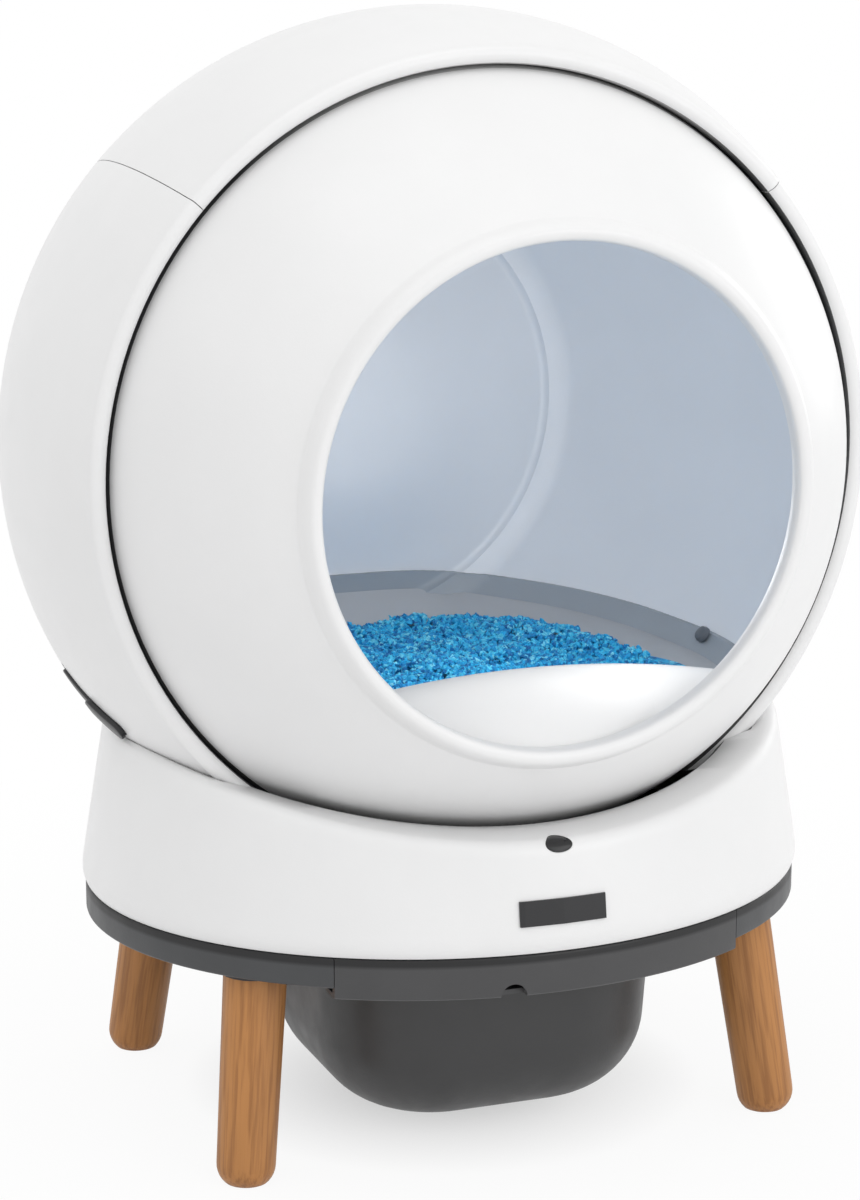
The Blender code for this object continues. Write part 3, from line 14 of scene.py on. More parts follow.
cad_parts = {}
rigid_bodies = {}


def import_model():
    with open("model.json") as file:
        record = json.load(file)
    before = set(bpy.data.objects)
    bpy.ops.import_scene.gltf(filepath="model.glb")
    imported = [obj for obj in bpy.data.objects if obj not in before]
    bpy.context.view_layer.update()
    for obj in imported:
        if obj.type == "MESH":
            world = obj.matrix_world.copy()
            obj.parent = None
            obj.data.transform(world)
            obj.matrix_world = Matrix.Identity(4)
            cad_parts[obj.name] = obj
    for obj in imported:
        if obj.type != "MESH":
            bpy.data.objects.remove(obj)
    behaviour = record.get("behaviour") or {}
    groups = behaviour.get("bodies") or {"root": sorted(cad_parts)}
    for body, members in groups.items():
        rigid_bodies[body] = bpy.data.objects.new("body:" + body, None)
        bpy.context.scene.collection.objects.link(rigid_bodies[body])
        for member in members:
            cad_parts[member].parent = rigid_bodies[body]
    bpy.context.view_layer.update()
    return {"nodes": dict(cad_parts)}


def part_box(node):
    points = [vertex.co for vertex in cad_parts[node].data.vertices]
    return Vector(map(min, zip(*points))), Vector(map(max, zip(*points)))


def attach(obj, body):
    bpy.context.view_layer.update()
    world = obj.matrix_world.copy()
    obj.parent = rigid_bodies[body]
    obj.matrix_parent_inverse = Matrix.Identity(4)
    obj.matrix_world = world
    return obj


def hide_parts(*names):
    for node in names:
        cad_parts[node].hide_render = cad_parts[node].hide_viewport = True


for leftover in list(bpy.data.objects):
    bpy.data.objects.remove(leftover, do_unlink=True)
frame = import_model()
NODES = frame["nodes"]

# Sizes of the solids that the smooth pieces follow
AXIS = 0.4205
HALF_DEPTH = 0.2055
HOUSING = (0.274, 0.020)
HOUSING_WALL = 0.0035
LIP_FRONT = 0.091
LIP_NOSE = 0.0055
LIP_DEPTH = 0.0115
RING_GAP = 0.005
HOUSING_DIP = 0.012
SEAM_ANGLE = math.radians(41.7)
SEAM_HALF = 0.0004
REAR_HOLE = 0.140
LEDGE = 0.009
DOME = (0.2545, 0.002)
GLOBE = (0.248, 0.002)
GLOBE_WALL = 0.0035
OPENING = 0.148
RIM_INNER = OPENING + 0.004
RIM_OUTER = OPENING + 0.013
SHELL_SEAM = -0.046
REAR_WALL = 0.190
BOSS = (0.050, 0.126)
BOSS_DEPTH = 0.012
TRACK_RADIUS = 0.243
TRACKS = ((-0.070, -0.054), (0.064, 0.080))
GEAR_SEAT = 0.2292
GEAR_SPAN = (0.0897, 0.106)
PORT = ((-0.072, 0.072), (-0.036, 0.054))
BOWL_WALL = 0.0033
# Every 15 degrees from the back to the front: the bowl rim's height and the litter's distance from the wall
BOWL_RIM = (0.3005, 0.2995, 0.2938, 0.2895, 0.2852, 0.2814, 0.2800,
            0.2792, 0.2765, 0.2735, 0.2715, 0.2705, 0.2700)
LITTER_INSET = (0.014, 0.014, 0.014, 0.0165, 0.025, 0.0295, 0.029, 0.028, 0.020, 0.014, 0.012, 0.012, 0.012)
BOWL_ROOF = 0.6
STEP_DROP = 0.0125
LITTER_TOP = 0.267
CRUMBS = 17000
CRUMB_SIZE = (0.0011, 0.0024)
SILL_CREST = (-0.152, 0.3105)
SILL_ARCH = 0.650
BASE_HALF = (0.236, 0.205)
BASE_LOW = 0.149
BASE_TAPER = 0.165
BASE_WALL = 0.003
BASE_SHOULDER = 0.009
SADDLE = (0.600, 0.215)
# Height, half sizes and corner radius of the window in the base's back
PANEL_WINDOW = (0.186, 0.056, 0.013, 0.004)
# Place across, height and radius
INLET_HOLE = (0.085, 0.166, 0.0063)
CHASSIS_HALF = (0.2325, 0.2015)
CHASSIS_SPAN = (0.1295, 0.1487)
CHASSIS_WALL = 0.003
CHASSIS_EDGE = 0.0018
CHUTE_HOLE = ((-0.074, 0.074), (-0.048, 0.062))
DRAWER_HALF = 0.131
DRAWER_LOW = 0.1230
DRAWER_BACK = -0.150
DRAWER_WALL = 0.0035
# Place across, rear end and radius
FINGER_NOTCH = (-0.030, -0.1935, 0.008)
TUB_Y = (-0.141, 0.083)
TUB_HALF = 0.1115
TUB_LOW = 0.013
TUB_TOP = 0.126
TUB_CORNER = 0.074
TUB_ROUND = 0.050
TUB_DRAFT = 0.055
TUB_WALL = 0.003
FLANGE = (0.121, 0.096)
# Outer and inner distance from the tub's outside, and height
BAG_RING = (0.0033, 0.0058, 0.012)
LEG_FOOT = (0.1755, 0.1270)
LEG_SPLAY = (0.11, 0.15)
LEG_TOP = 0.1264
LEG_ROUND = 0.0150
LEG_RADII = (0.0180, 0.0195)
EYE = (-0.1935, 0.2124)
EYE_HALF = (0.0082, 0.0046)
EYE_HOLE = (0.0085, 0.0049)
EYE_TILT = math.radians(77)
# Length and width of a vent, radius and depth of a screw's seat, half sizes of its cross slot, and the
# filter's radius and thickness
VENT = (0.080, 0.005)
VENT_PITCH = 0.014
SCREW_SEAT = (0.0039, 0.0021)
SCREW_CROSS = (0.0020, 0.0004)
FILTER = (0.062, 0.0080)
LATCH_PLACE = (math.radians(32.7), math.radians(32), 0.006)
# Ends along the latch, half width, and lowest and highest level from the housing's outside
LATCH_BAR = (-0.0365, 0.032, 0.005, -0.0105, 0.0018)
LATCH_GRIP = (-0.0370, 0.001, 0.0068, 0.0011, 0.0036)
LATCH_TRAVEL = 0.005

# Gap between pieces that fit in each other, and how far a cutter runs past what it cuts
FIT_GAP = 0.0003
OVERRUN = 0.02
STEPS = 176
FINE = 0.00001

# The camera that took the photograph, fitted to its outlines
CAMERA_LENS_MM = 93.72
CAMERA_PLACE = (-0.6952, -1.8243, 0.7448)
CAMERA_BACK = (-0.3443, -0.9145, 0.2124)
CAMERA_RIGHT = (0.9359, -0.3524, 0)

SKY_STRENGTH = 0.85
# Name, place, target, diameter and watts
LAMPS = (("key", (1.5, -2.8, 1.3), (0, 0, 0.36), 2.2, 18),
         ("side", (2.8, 1.2, 1.0), (0, 0, 0.40), 1.6, 7),
         ("top", (-0.4, -0.6, 2.8), (0, 0, 0.40), 2.4, 9.5),
         ("inside", (0, -0.140, AXIS + 0.01), (0, 0, AXIS + 0.01), 0.250, 0.31),
         ("sill", (0.085, -0.1985, AXIS - 0.03), (0.085, 0, AXIS - 0.03), 0.10, 0.09))


# Mesh tools

def finish_mesh(bm, name, angle=35):
    bmesh.ops.remove_doubles(bm, verts=bm.verts, dist=FINE)
    bmesh.ops.recalc_face_normals(bm, faces=bm.faces)
    mesh = bpy.data.meshes.new(name)
    bm.to_mesh(mesh)
    bm.free()
    obj = bpy.data.objects.new(name, mesh)
    bpy.context.scene.collection.objects.link(obj)
    soften(obj, angle)
    return obj


def soften(obj, angle=35):
    obj.data.shade_smooth()
    obj.data.set_sharp_from_angle(angle=math.radians(angle))


def bake(obj, angle=35):
    """Applies the modifiers of obj and smooths it again."""
    graph = bpy.context.evaluated_depsgraph_get()
    mesh = bpy.data.meshes.new_from_object(obj.evaluated_get(graph))
    obj.modifiers.clear()
    old, obj.data = obj.data, mesh
    bpy.data.meshes.remove(old)
    soften(obj, angle)
    return obj


def cut(obj, *others, operation="DIFFERENCE", angle=35):
    for other in others:
        step = obj.modifiers.new("cut", "BOOLEAN")
        step.operation = operation
        step.solver = "EXACT"
        step.object = other
    bake(obj, angle)
    for other in others:
        bpy.data.objects.remove(other, do_unlink=True)
    return obj


def edge(obj, width, segments=2):
    """Rounds the sharp edges of obj."""
    step = obj.modifiers.new("edge", "BEVEL")
    step.width = width
    step.segments = segments
    step.limit_method = "ANGLE"
    step.angle_limit = math.radians(40)
    return bake(obj)


def revolve(name, profile, closed=True, steps=STEPS):
    """A profile of (radius, y) turned round the globe's axis."""
    bm = bmesh.new()
    verts = [bm.verts.new((radius, y, AXIS)) for radius, y in profile]
    pairs = list(zip(verts, verts[1:])) + ([(verts[-1], verts[0])] if closed else [])
    edges = [bm.edges.new(pair) for pair in pairs]
    bmesh.ops.spin(bm, geom=verts + edges, cent=(0, 0, AXIS), axis=(0, 1, 0), dvec=(0, 0, 0),
                   angle=2 * math.pi, steps=steps, use_merge=True, use_duplicate=False)
    return finish_mesh(bm, name)


def turn_up(name, profile, place, steps=48):
    """A profile of (radius, height) turned round its own upright axis, then put in place."""
    bm = bmesh.new()
    verts = [bm.verts.new((radius, 0, height)) for radius, height in profile]
    edges = [bm.edges.new(pair) for pair in zip(verts, verts[1:])]
    bmesh.ops.spin(bm, geom=verts + edges, cent=(0, 0, 0), axis=(0, 0, 1), dvec=(0, 0, 0),
                   angle=2 * math.pi, steps=steps, use_merge=True, use_duplicate=False)
    obj = finish_mesh(bm, name)
    obj.matrix_world = place
    return obj


def block(name, low, high, place=None):
    low, high = Vector(low), Vector(high)
    bm = bmesh.new()
    bmesh.ops.create_cube(bm, size=1)
    bmesh.ops.scale(bm, vec=high - low, verts=bm.verts)
    bmesh.ops.translate(bm, vec=(low + high) / 2, verts=bm.verts)
    obj = finish_mesh(bm, name)
    if place is not None:
        obj.matrix_world = place
    return obj


def rod(name, start, end, radius, sides=48):
    start, end = Vector(start), Vector(end)
    run = end - start
    bm = bmesh.new()
    bmesh.ops.create_cone(bm, cap_ends=True, segments=sides, radius1=radius, radius2=radius,
                          depth=run.length)
    bmesh.ops.translate(bm, vec=(0, 0, run.length / 2), verts=bm.verts)
    obj = finish_mesh(bm, name)
    turn = run.to_track_quat("Z", "Y").to_matrix().to_4x4()
    obj.matrix_world = Matrix.Translation(start) @ turn
    return obj


def slab(name, outline, low, high, place):
    """A flat outline in XY made thick from low to high along Z."""
    bm = bmesh.new()
    face = bm.faces.new([bm.verts.new((x, y, low)) for x, y in outline])
    grown = bmesh.ops.extrude_face_region(bm, geom=[face])["geom"]
    moved = [v for v in grown if isinstance(v, bmesh.types.BMVert)]
    bmesh.ops.translate(bm, vec=(0, 0, high - low), verts=moved)
    obj = finish_mesh(bm, name)
    obj.matrix_world = place
    return obj


def ring(sides, half_x, half_y):
    return [(half_x * math.cos(2 * math.pi * i / sides), half_y * math.sin(2 * math.pi * i / sides))
            for i in range(sides)]


def span(count, start, end):
    return [start + (end - start) * i / (count - 1) for i in range(count)]


def ball_at(ball, y, inset=0):
    radius = ball[0] - inset
    return math.sqrt(radius * radius - (y - ball[1]) ** 2)


def ball_arc(ball, start, end, count, inset=0):
    radius = ball[0] - inset
    first, last = (math.acos((y - ball[1]) / radius) for y in (start, end))
    return [(radius * math.sin(a), ball[1] + radius * math.cos(a)) for a in span(count, first, last)]


def bend(start, corner, end, count=8):
    """Points of a soft corner between two lines, in any number of dimensions."""
    start, corner, end = Vector(start), Vector(corner), Vector(end)
    return [tuple(start * (1 - t) ** 2 + corner * 2 * t * (1 - t) + end * t * t)
            for t in span(count, 0, 1)]


def around(values, angle):
    """A smooth reading of values given from the back, angle 0, to the front, on both sides alike."""
    place = abs(math.remainder(angle, 2 * math.pi)) / math.pi * (len(values) - 1)
    index = min(int(place), len(values) - 2)
    t = place - index
    before, after = values[max(index - 1, 0)], values[min(index + 2, len(values) - 1)]
    start, end = values[index], values[index + 1]
    slope_in, slope_out = (end - before) / 2, (after - start) / 2
    return (start * (1 + 2 * t) * (1 - t) ** 2 + slope_in * t * (1 - t) ** 2 +
            end * t * t * (3 - 2 * t) + slope_out * t * t * (t - 1))


def polar(angle, radius, y):
    return Vector((radius * math.sin(angle), y, AXIS - radius * math.cos(angle)))


def skin(bm, loops, closed=True):
    """Faces between each loop of points and the next; closed joins a loop's last point to its first."""
    for a, b in zip(loops, loops[1:]):
        for i in range(len(a) if closed else len(a) - 1):
            j = (i + 1) % len(a)
            bm.faces.new((a[i], a[j], b[j], b[i]))


def skin_round(bm, columns):
    """Faces between columns of points that stand in a ring."""
    for a, b in zip(columns, columns[1:] + columns[:1]):
        for i in range(len(a) - 1):
            bm.faces.new((a[i], b[i], b[i + 1], a[i + 1]))


# Materials

def node(tree, kind, **values):
    made = tree.nodes.new(kind)
    for key, value in values.items():
        if key.startswith("in_"):
            made.inputs[key[3:].replace("_", " ")].default_value = value
        else:
            setattr(made, key, value)
    return made


def shader_of(name, colour, rough, metallic=0.0, coat=0.0):
    material = bpy.data.materials.new(name)
    material.use_nodes = True
    material.diffuse_color = (*colour, 1)
    tree = material.node_tree
    shader = tree.nodes["Principled BSDF"]
    shader.inputs["Base Color"].default_value = (*colour, 1)
    shader.inputs["Roughness"].default_value = rough
    shader.inputs["Metallic"].default_value = metallic
    shader.inputs["Coat Weight"].default_value = coat
    return material, tree, shader


def noise_of(tree, scale, detail=3, stretch=None):
    """Noise in the piece's own coordinates, in cycles per metre."""
    where = node(tree, "ShaderNodeTexCoord").outputs["Object"]
    if stretch:
        mapping = node(tree, "ShaderNodeMapping", in_Scale=stretch)
        tree.links.new(where, mapping.inputs["Vector"])
        where = mapping.outputs["Vector"]
    noise = node(tree, "ShaderNodeTexNoise", in_Scale=scale, in_Detail=detail)
    tree.links.new(where, noise.inputs["Vector"])
    return noise.outputs["Fac"]


def ramp_of(tree, source, stops):
    ramp = node(tree, "ShaderNodeValToRGB")
    while len(ramp.color_ramp.elements) < len(stops):
        ramp.color_ramp.elements.new(0.5)
    for element, (place, colour) in zip(ramp.color_ramp.elements, stops):
        element.position = place
        element.color = (*colour, 1)
    tree.links.new(source, ramp.inputs["Fac"])
    return ramp.outputs["Color"]


def range_of(tree, source, low, high, source_low=0.3, source_high=0.7):
    step = node(tree, "ShaderNodeMapRange")
    for key, value in (("From Min", source_low), ("From Max", source_high), ("To Min", low),
                       ("To Max", high)):
        step.inputs[key].default_value = value
    tree.links.new(source, step.inputs["Value"])
    return step.outputs["Result"]


def bump_of(tree, shader, source, distance):
    bump = node(tree, "ShaderNodeBump", in_Distance=distance, in_Strength=1.0)
    tree.links.new(source, bump.inputs["Height"])
    tree.links.new(bump.outputs["Normal"], shader.inputs["Normal"])


def tint(colour, factor):
    return tuple(min(1.0, c * factor) for c in colour)


def plastic(name, colour, rough, grain=900, depth=0.00004, mottle=0.03, cloud=14, coat=0.0, shade=None):
    """Moulded plastic: a faint cloud of tone, uneven gloss and a fine spark-eroded grain.

    Where shade names two heights and a tone, the colour goes over into that tone between them: painted
    light and shade by height."""
    material, tree, shader = shader_of(name, colour, rough, coat=coat)
    soft = noise_of(tree, cloud, 4)
    tone = ramp_of(tree, soft, ((0.3, tint(colour, 1 - mottle)), (0.7, tint(colour, 1 + mottle))))
    if shade:
        parts = node(tree, "ShaderNodeSeparateXYZ")
        tree.links.new(node(tree, "ShaderNodeTexCoord").outputs["Object"], parts.inputs["Vector"])
        mix = node(tree, "ShaderNodeMix", data_type="RGBA")
        mix.inputs[7].default_value = (*shade[2], 1)
        tree.links.new(range_of(tree, parts.outputs["Z"], 0, 1, *shade[:2]), mix.inputs["Factor"])
        tree.links.new(tone, mix.inputs[6])
        tone = mix.outputs[2]
    tree.links.new(tone, shader.inputs["Base Color"])
    tree.links.new(range_of(tree, noise_of(tree, 60), rough - 0.05, rough + 0.05),
                   shader.inputs["Roughness"])
    bump_of(tree, shader, noise_of(tree, grain, 2), depth)
    return material


def wood(name, light, dark):
    """Grain that runs along the piece's own Z, with darker pores and a slow change of tone."""
    material, tree, shader = shader_of(name, light, 0.5)
    slow = noise_of(tree, 9, 4, (4.0, 4.0, 0.7))
    lines = noise_of(tree, 60, 6, (6.0, 6.0, 0.30))
    pores = noise_of(tree, 240, 3, (5.0, 5.0, 0.16))
    base = ramp_of(tree, slow, ((0.32, tint(light, 0.80)), (0.5, light), (0.72, tint(light, 1.22))))
    band = ramp_of(tree, lines, ((0.38, dark), (0.56, tint(light, 1.08))))
    blend = node(tree, "ShaderNodeMix", data_type="RGBA")
    blend.inputs["Factor"].default_value = 0.5
    tree.links.new(base, blend.inputs[6])
    tree.links.new(band, blend.inputs[7])
    tree.links.new(blend.outputs[2], shader.inputs["Base Color"])
    tree.links.new(range_of(tree, pores, 0.42, 0.60), shader.inputs["Roughness"])
    bump_of(tree, shader, pores, 0.00012)
    return material


def granules(name):
    """Each crumb takes one of a few blues; its faces sparkle a little."""
    material, tree, shader = shader_of(name, (0.02, 0.30, 0.62), 0.55)
    where = node(tree, "ShaderNodeTexCoord").outputs["Object"]
    cells = node(tree, "ShaderNodeTexVoronoi", in_Scale=330.0)
    tree.links.new(where, cells.inputs["Vector"])
    parts = node(tree, "ShaderNodeSeparateColor")
    tree.links.new(cells.outputs["Color"], parts.inputs["Color"])
    tone = ramp_of(tree, parts.outputs["Red"],
                   ((0.0, (0.003, 0.13, 0.39)), (0.25, (0.008, 0.27, 0.61)), (0.6, (0.018, 0.45, 0.81)),
                    (0.85, (0.07, 0.59, 0.87)), (1.0, (0.22, 0.72, 0.92))))
    tree.links.new(tone, shader.inputs["Base Color"])
    bump_of(tree, shader, noise_of(tree, 1400, 3), 0.0004)
    return material


def metal(name, colour, rough):
    material, tree, shader = shader_of(name, colour, rough, 1.0)
    streaks = noise_of(tree, 220, 3, (1.0, 1.0, 9.0))
    tree.links.new(range_of(tree, streaks, rough - 0.08, rough + 0.1), shader.inputs["Roughness"])
    clouds = noise_of(tree, 30, 4)
    tree.links.new(ramp_of(tree, clouds, ((0.3, tint(colour, 0.9)), (0.7, tint(colour, 1.06)))),
                   shader.inputs["Base Color"])
    bump_of(tree, shader, streaks, 0.00002)
    return material


def circuit(name):
    """Green mask over copper tracks."""
    material, tree, shader = shader_of(name, (0.02, 0.14, 0.06), 0.4)
    where = node(tree, "ShaderNodeTexCoord").outputs["Object"]
    tracks = node(tree, "ShaderNodeTexBrick", in_Scale=160.0)
    tracks.inputs["Mortar Size"].default_value = 0.12
    tracks.inputs["Color1"].default_value = (0.015, 0.11, 0.045, 1)
    tracks.inputs["Color2"].default_value = (0.020, 0.15, 0.060, 1)
    tracks.inputs["Mortar"].default_value = (0.05, 0.26, 0.11, 1)
    tree.links.new(where, tracks.inputs["Vector"])
    tree.links.new(tracks.outputs["Color"], shader.inputs["Base Color"])
    bump_of(tree, shader, tracks.outputs["Fac"], 0.00005)
    return material


# Painted shadow at the skirt's upper edge, under the base's overhang: where it begins, where it is full,
# and its colour
SKIRT_PAINTED_SHADOW = (0.1422, 0.1446, (0.006, 0.006, 0.007))
WHITE = plastic("white_plastic", (0.845, 0.845, 0.845), 0.36, mottle=0.012, coat=0.05)
# Painted light: a touch lighter than the shell's white, to lift the sill out of its shade.
SILL_WHITE_PAINTED_LIGHT = plastic("white_sill_painted_light", (0.86, 0.86, 0.86), 0.34, mottle=0.01)
# Painted shade for the gaps between shells: dark where the gap is deep, going over to mid grey towards the
# top as painted light, where light falls in from above.
GAP_PAINTED_SHADE = plastic("gap_painted_shade", (0.075, 0.076, 0.078), 0.6, mottle=0.05,
                   shade=(0.60, 0.662, (0.50, 0.50, 0.50)))
LINING = plastic("lining_plastic", (0.755, 0.785, 0.83), 0.36, mottle=0.015)
BOWL = plastic("bowl_plastic", (0.32, 0.355, 0.395), 0.45)
# Painted light: the step is the bowl's grey painted lighter, for the light on its sloped face.
BOWL_STEP_PAINTED_LIGHT = plastic("bowl_step_painted_light", (0.44, 0.455, 0.48), 0.45)
KNOB = plastic("knob_plastic", (0.115, 0.130, 0.150), 0.42)
CHARCOAL = plastic("charcoal_plastic", (0.056, 0.056, 0.058), 0.42, grain=700, depth=0.00006, mottle=0.08)
SKIRT = plastic("skirt_plastic", (0.052, 0.054, 0.057), 0.45, grain=700, depth=0.00006, mottle=0.08,
                shade=SKIRT_PAINTED_SHADOW)
FRONT = plastic("front_plastic", (0.056, 0.056, 0.058), 0.42, grain=700, depth=0.00006, mottle=0.08,
                shade=SKIRT_PAINTED_SHADOW)
# Painted shade: the bin goes darker towards its bottom, under the base.
TUB = plastic("tub_plastic", (0.036, 0.036, 0.037), 0.45, grain=700, depth=0.00006, mottle=0.08,
              shade=(0.05, 0.125, (0.048, 0.048, 0.049)))
BLACK = plastic("black_plastic", (0.014, 0.014, 0.016), 0.38, mottle=0.1)
LENS = plastic("lens_plastic", (0.004, 0.004, 0.005), 0.30, depth=0.000005, mottle=0.1)
RUBBER = plastic("roller_rubber", (0.035, 0.035, 0.036), 0.78, grain=1500, depth=0.00008, mottle=0.15)
FELT = plastic("filter_felt", (0.028, 0.028, 0.030), 0.92, grain=2200, depth=0.0003, mottle=0.3, cloud=300)
LITTER = granules("blue_granules")
WOOD = wood("oiled_wood", (0.445, 0.195, 0.056), (0.213, 0.075, 0.017))
STEEL = metal("zinc_steel", (0.55, 0.56, 0.58), 0.34)
BOARD = circuit("circuit_board")


def dress(obj, body, slot, material, *replaced):
    """Gives a piece its material and its body, and hides the nodes that it stands for. slot is not used."""
    obj.data.materials.clear()
    obj.data.materials.append(material)
    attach(obj, body)
    if replaced:
        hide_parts(*replaced)
    return obj


def paint_gap_shade(obj, chosen):
    """Gives the faces that chosen picks, by centre and normal, painted shade: a dark tone that stands for
    the shadow in the running gap.
    """
    obj.data.materials.append(GAP_PAINTED_SHADE)
    for face in obj.data.polygons:
        if chosen(face.center, face.normal):
            face.material_index = 1


def outward(centre, normal):
    """How far a face looks away from the globe's axis."""
    return Vector((centre.x, centre.z - AXIS)).normalized().dot(Vector((normal.x, normal.z)))


# Camera, lamps and stage

def make_camera():
    data = bpy.data.cameras.new("camera")
    data.sensor_width = 36
    data.lens = CAMERA_LENS_MM
    data.clip_start = 0.05
    data.clip_end = 60
    camera = bpy.data.objects.new("camera", data)
    bpy.context.scene.collection.objects.link(camera)
    back = Vector(CAMERA_BACK).normalized()
    right = Vector(CAMERA_RIGHT).normalized()
    camera.matrix_world = Matrix((right, back.cross(right), back)).transposed().to_4x4()
    camera.location = CAMERA_PLACE
    bpy.context.scene.camera = camera


def lamp(name, place, target, size, power):
    data = bpy.data.lights.new(name, "AREA")
    data.shape = "DISK"
    data.size = size
    data.energy = power
    obj = bpy.data.objects.new(name, data)
    bpy.context.scene.collection.objects.link(obj)
    run = Vector(target) - Vector(place)
    obj.matrix_world = Matrix.Translation(place) @ run.to_track_quat("-Z", "Y").to_matrix().to_4x4()


def direct_rays(tree):
    """1 for the rays that show the background: straight, mirrored or through glass."""
    path = node(tree, "ShaderNodeLightPath")
    found = path.outputs["Is Camera Ray"]
    for kind in ("Is Glossy Ray", "Is Transmission Ray"):
        step = node(tree, "ShaderNodeMath", operation="MAXIMUM")
        tree.links.new(found, step.inputs[0])
        tree.links.new(path.outputs[kind], step.inputs[1])
        found = step.outputs[0]
    return found


def make_stage():
    scene = bpy.context.scene
    scene.view_settings.view_transform = "Standard"
    world = bpy.data.worlds.new("studio")
    scene.world = world
    world.use_nodes = True
    tree = world.node_tree
    sky = tree.nodes["Background"]
    sky.inputs["Color"].default_value = (1, 1, 1, 1)
    sky.inputs["Strength"].default_value = SKY_STRENGTH
    shown = node(tree, "ShaderNodeBackground")
    shown.inputs["Color"].default_value = (1, 1, 1, 1)
    mix = node(tree, "ShaderNodeMixShader")
    tree.links.new(direct_rays(tree), mix.inputs["Fac"])
    tree.links.new(sky.outputs["Background"], mix.inputs[1])
    tree.links.new(shown.outputs["Background"], mix.inputs[2])
    tree.links.new(mix.outputs["Shader"], tree.nodes["World Output"].inputs["Surface"])

    bm = bmesh.new()
    bmesh.ops.create_circle(bm, cap_ends=True, segments=96, radius=14)
    floor = finish_mesh(bm, "floor")
    material, tree, shader = shader_of("floor_white", (0.86, 0.86, 0.865), 0.7)
    glow = node(tree, "ShaderNodeEmission")
    glow.inputs["Color"].default_value = (1, 1, 1, 1)
    where = node(tree, "ShaderNodeTexCoord").outputs["Object"]
    length = node(tree, "ShaderNodeVectorMath", operation="LENGTH")
    tree.links.new(where, length.inputs[0])
    shares = ((0.05, (0.50,) * 3), (0.17, (0.92,) * 3), (0.80, (1,) * 3))
    fade = ramp_of(tree, length.outputs["Value"], shares)
    share = node(tree, "ShaderNodeMath", operation="MULTIPLY")
    mix = node(tree, "ShaderNodeMixShader")
    tree.links.new(direct_rays(tree), share.inputs[0])
    tree.links.new(fade, share.inputs[1])
    tree.links.new(share.outputs[0], mix.inputs["Fac"])
    tree.links.new(shader.outputs["BSDF"], mix.inputs[1])
    tree.links.new(glow.outputs["Emission"], mix.inputs[2])
    tree.links.new(mix.outputs["Shader"], tree.nodes["Material Output"].inputs["Surface"])
    floor.data.materials.append(material)

    for values in LAMPS:
        lamp(*values)


# Housing and covers

def housing_profile():
    outer_rear = ball_at(HOUSING, HALF_DEPTH)
    nose = LIP_NOSE - LIP_FRONT
    profile = [(REAR_HOLE, HALF_DEPTH)]
    turn_in, turn_down = 0.014, 0.012
    first = ball_arc(HOUSING, HALF_DEPTH - turn_down, nose, 46)
    profile += bend((outer_rear - turn_in, HALF_DEPTH), (outer_rear, HALF_DEPTH), first[0])[:-1]
    profile += first
    nose_inner = ball_at(DOME, -LIP_FRONT) + RING_GAP
    middle, half = (first[-1][0] + nose_inner) / 2, (first[-1][0] - nose_inner) / 2
    for angle in span(13, 0, math.pi)[1:]:
        profile.append((middle + half * math.cos(angle), nose - LIP_NOSE * math.sin(angle)))
    step = LIP_DEPTH - LIP_FRONT
    wall = HALF_DEPTH - HOUSING_WALL
    profile.append((nose_inner, step))
    profile += ball_arc(HOUSING, step, wall, 24, HOUSING_WALL)
    front = wall - HOUSING_WALL
    profile += [(REAR_HOLE + LEDGE, wall), (REAR_HOLE + LEDGE, front), (REAR_HOLE - LEDGE, front),
                (REAR_HOLE - LEDGE, wall - FIT_GAP), (REAR_HOLE, wall - FIT_GAP)]
    return profile


def seam_wedge(lift):
    reach = 0.30
    rise = reach * math.tan(SEAM_ANGLE)
    outline = [(0, lift), (reach, rise + lift), (reach, rise + reach), (-reach, rise + reach),
               (-reach, rise + lift)]
    place = Matrix.Translation((0, 0, AXIS)) @ Matrix.Rotation(math.pi / 2, 4, "X")
    return slab("wedge", outline, -reach, reach, place)


def capsule(length, width):
    """A flat outline with round ends."""
    reach = (length - width) / 2
    turns = span(17, -math.pi / 2, math.pi / 2)
    return ([(reach + width / 2 * math.cos(a), width / 2 * math.sin(a)) for a in turns] +
            [(-reach - width / 2 * math.cos(a), -width / 2 * math.sin(a)) for a in turns])


def latch_place(side):
    angle, tilt, y = LATCH_PLACE
    normal = Vector((side * math.cos(angle), 0, -math.sin(angle)))
    upward = Vector((side * math.sin(angle), 0, math.cos(angle)))
    along = Vector((0, math.cos(tilt), 0)) + upward * math.sin(tilt)
    place = Matrix((along, normal.cross(along), normal)).transposed().to_4x4()
    place.translation = Vector((0, y, AXIS)) + normal * ball_at(HOUSING, y)
    return place


def latch_form(name, side, form, margin=0.0, rear=0.0):
    """A round-ended bar bent along the housing, with a margin all round and room for its travel."""
    place = latch_place(side)
    middle = Vector((0, HOUSING[1], AXIS))
    low, high, half, bottom, top = form
    low, high, half = low - margin, high + margin + rear, half + margin
    bottom, top, soft = bottom - margin, top + margin, 0.0008
    section = [(-1, bottom), (-1, top - soft), (-0.94, top - soft * 0.3), (-0.84, top),
               (0, top + soft * 0.2), (0.84, top), (0.94, top - soft * 0.3), (1, top - soft), (1, bottom)]
    stations = [low + half * (1 - math.cos(a)) for a in span(9, 0.05, math.pi / 2)]
    stations += span(14, low + half, high - half)[1:-1]
    stations += [high - half * (1 - math.cos(a)) for a in span(9, math.pi / 2, 0.05)]
    bm = bmesh.new()
    loops = []
    for u in stations:
        past = max(low + half - u, u - high + half, 0)
        width = math.sqrt(half * half - past * past)
        loop = []
        for v, w in section:
            flat = place @ Vector((u, v * width, 0))
            loop.append(bm.verts.new(middle + (flat - middle).normalized() * (HOUSING[0] + w)))
        loops.append(loop)
    skin(bm, loops)
    bm.faces.new(loops[0])
    bm.faces.new(reversed(loops[-1]))
    return finish_mesh(bm, name, 50)


def saddle_rod(drop):
    centre = SADDLE[0] + SADDLE[1]
    return rod("saddle", (0, -0.24, centre), (0, 0.24, centre), SADDLE[0] + drop, 384)


def in_lip(centre, normal):
    return -LIP_FRONT + 0.0028 < centre.y < -0.055 and outward(centre, normal) < -0.3


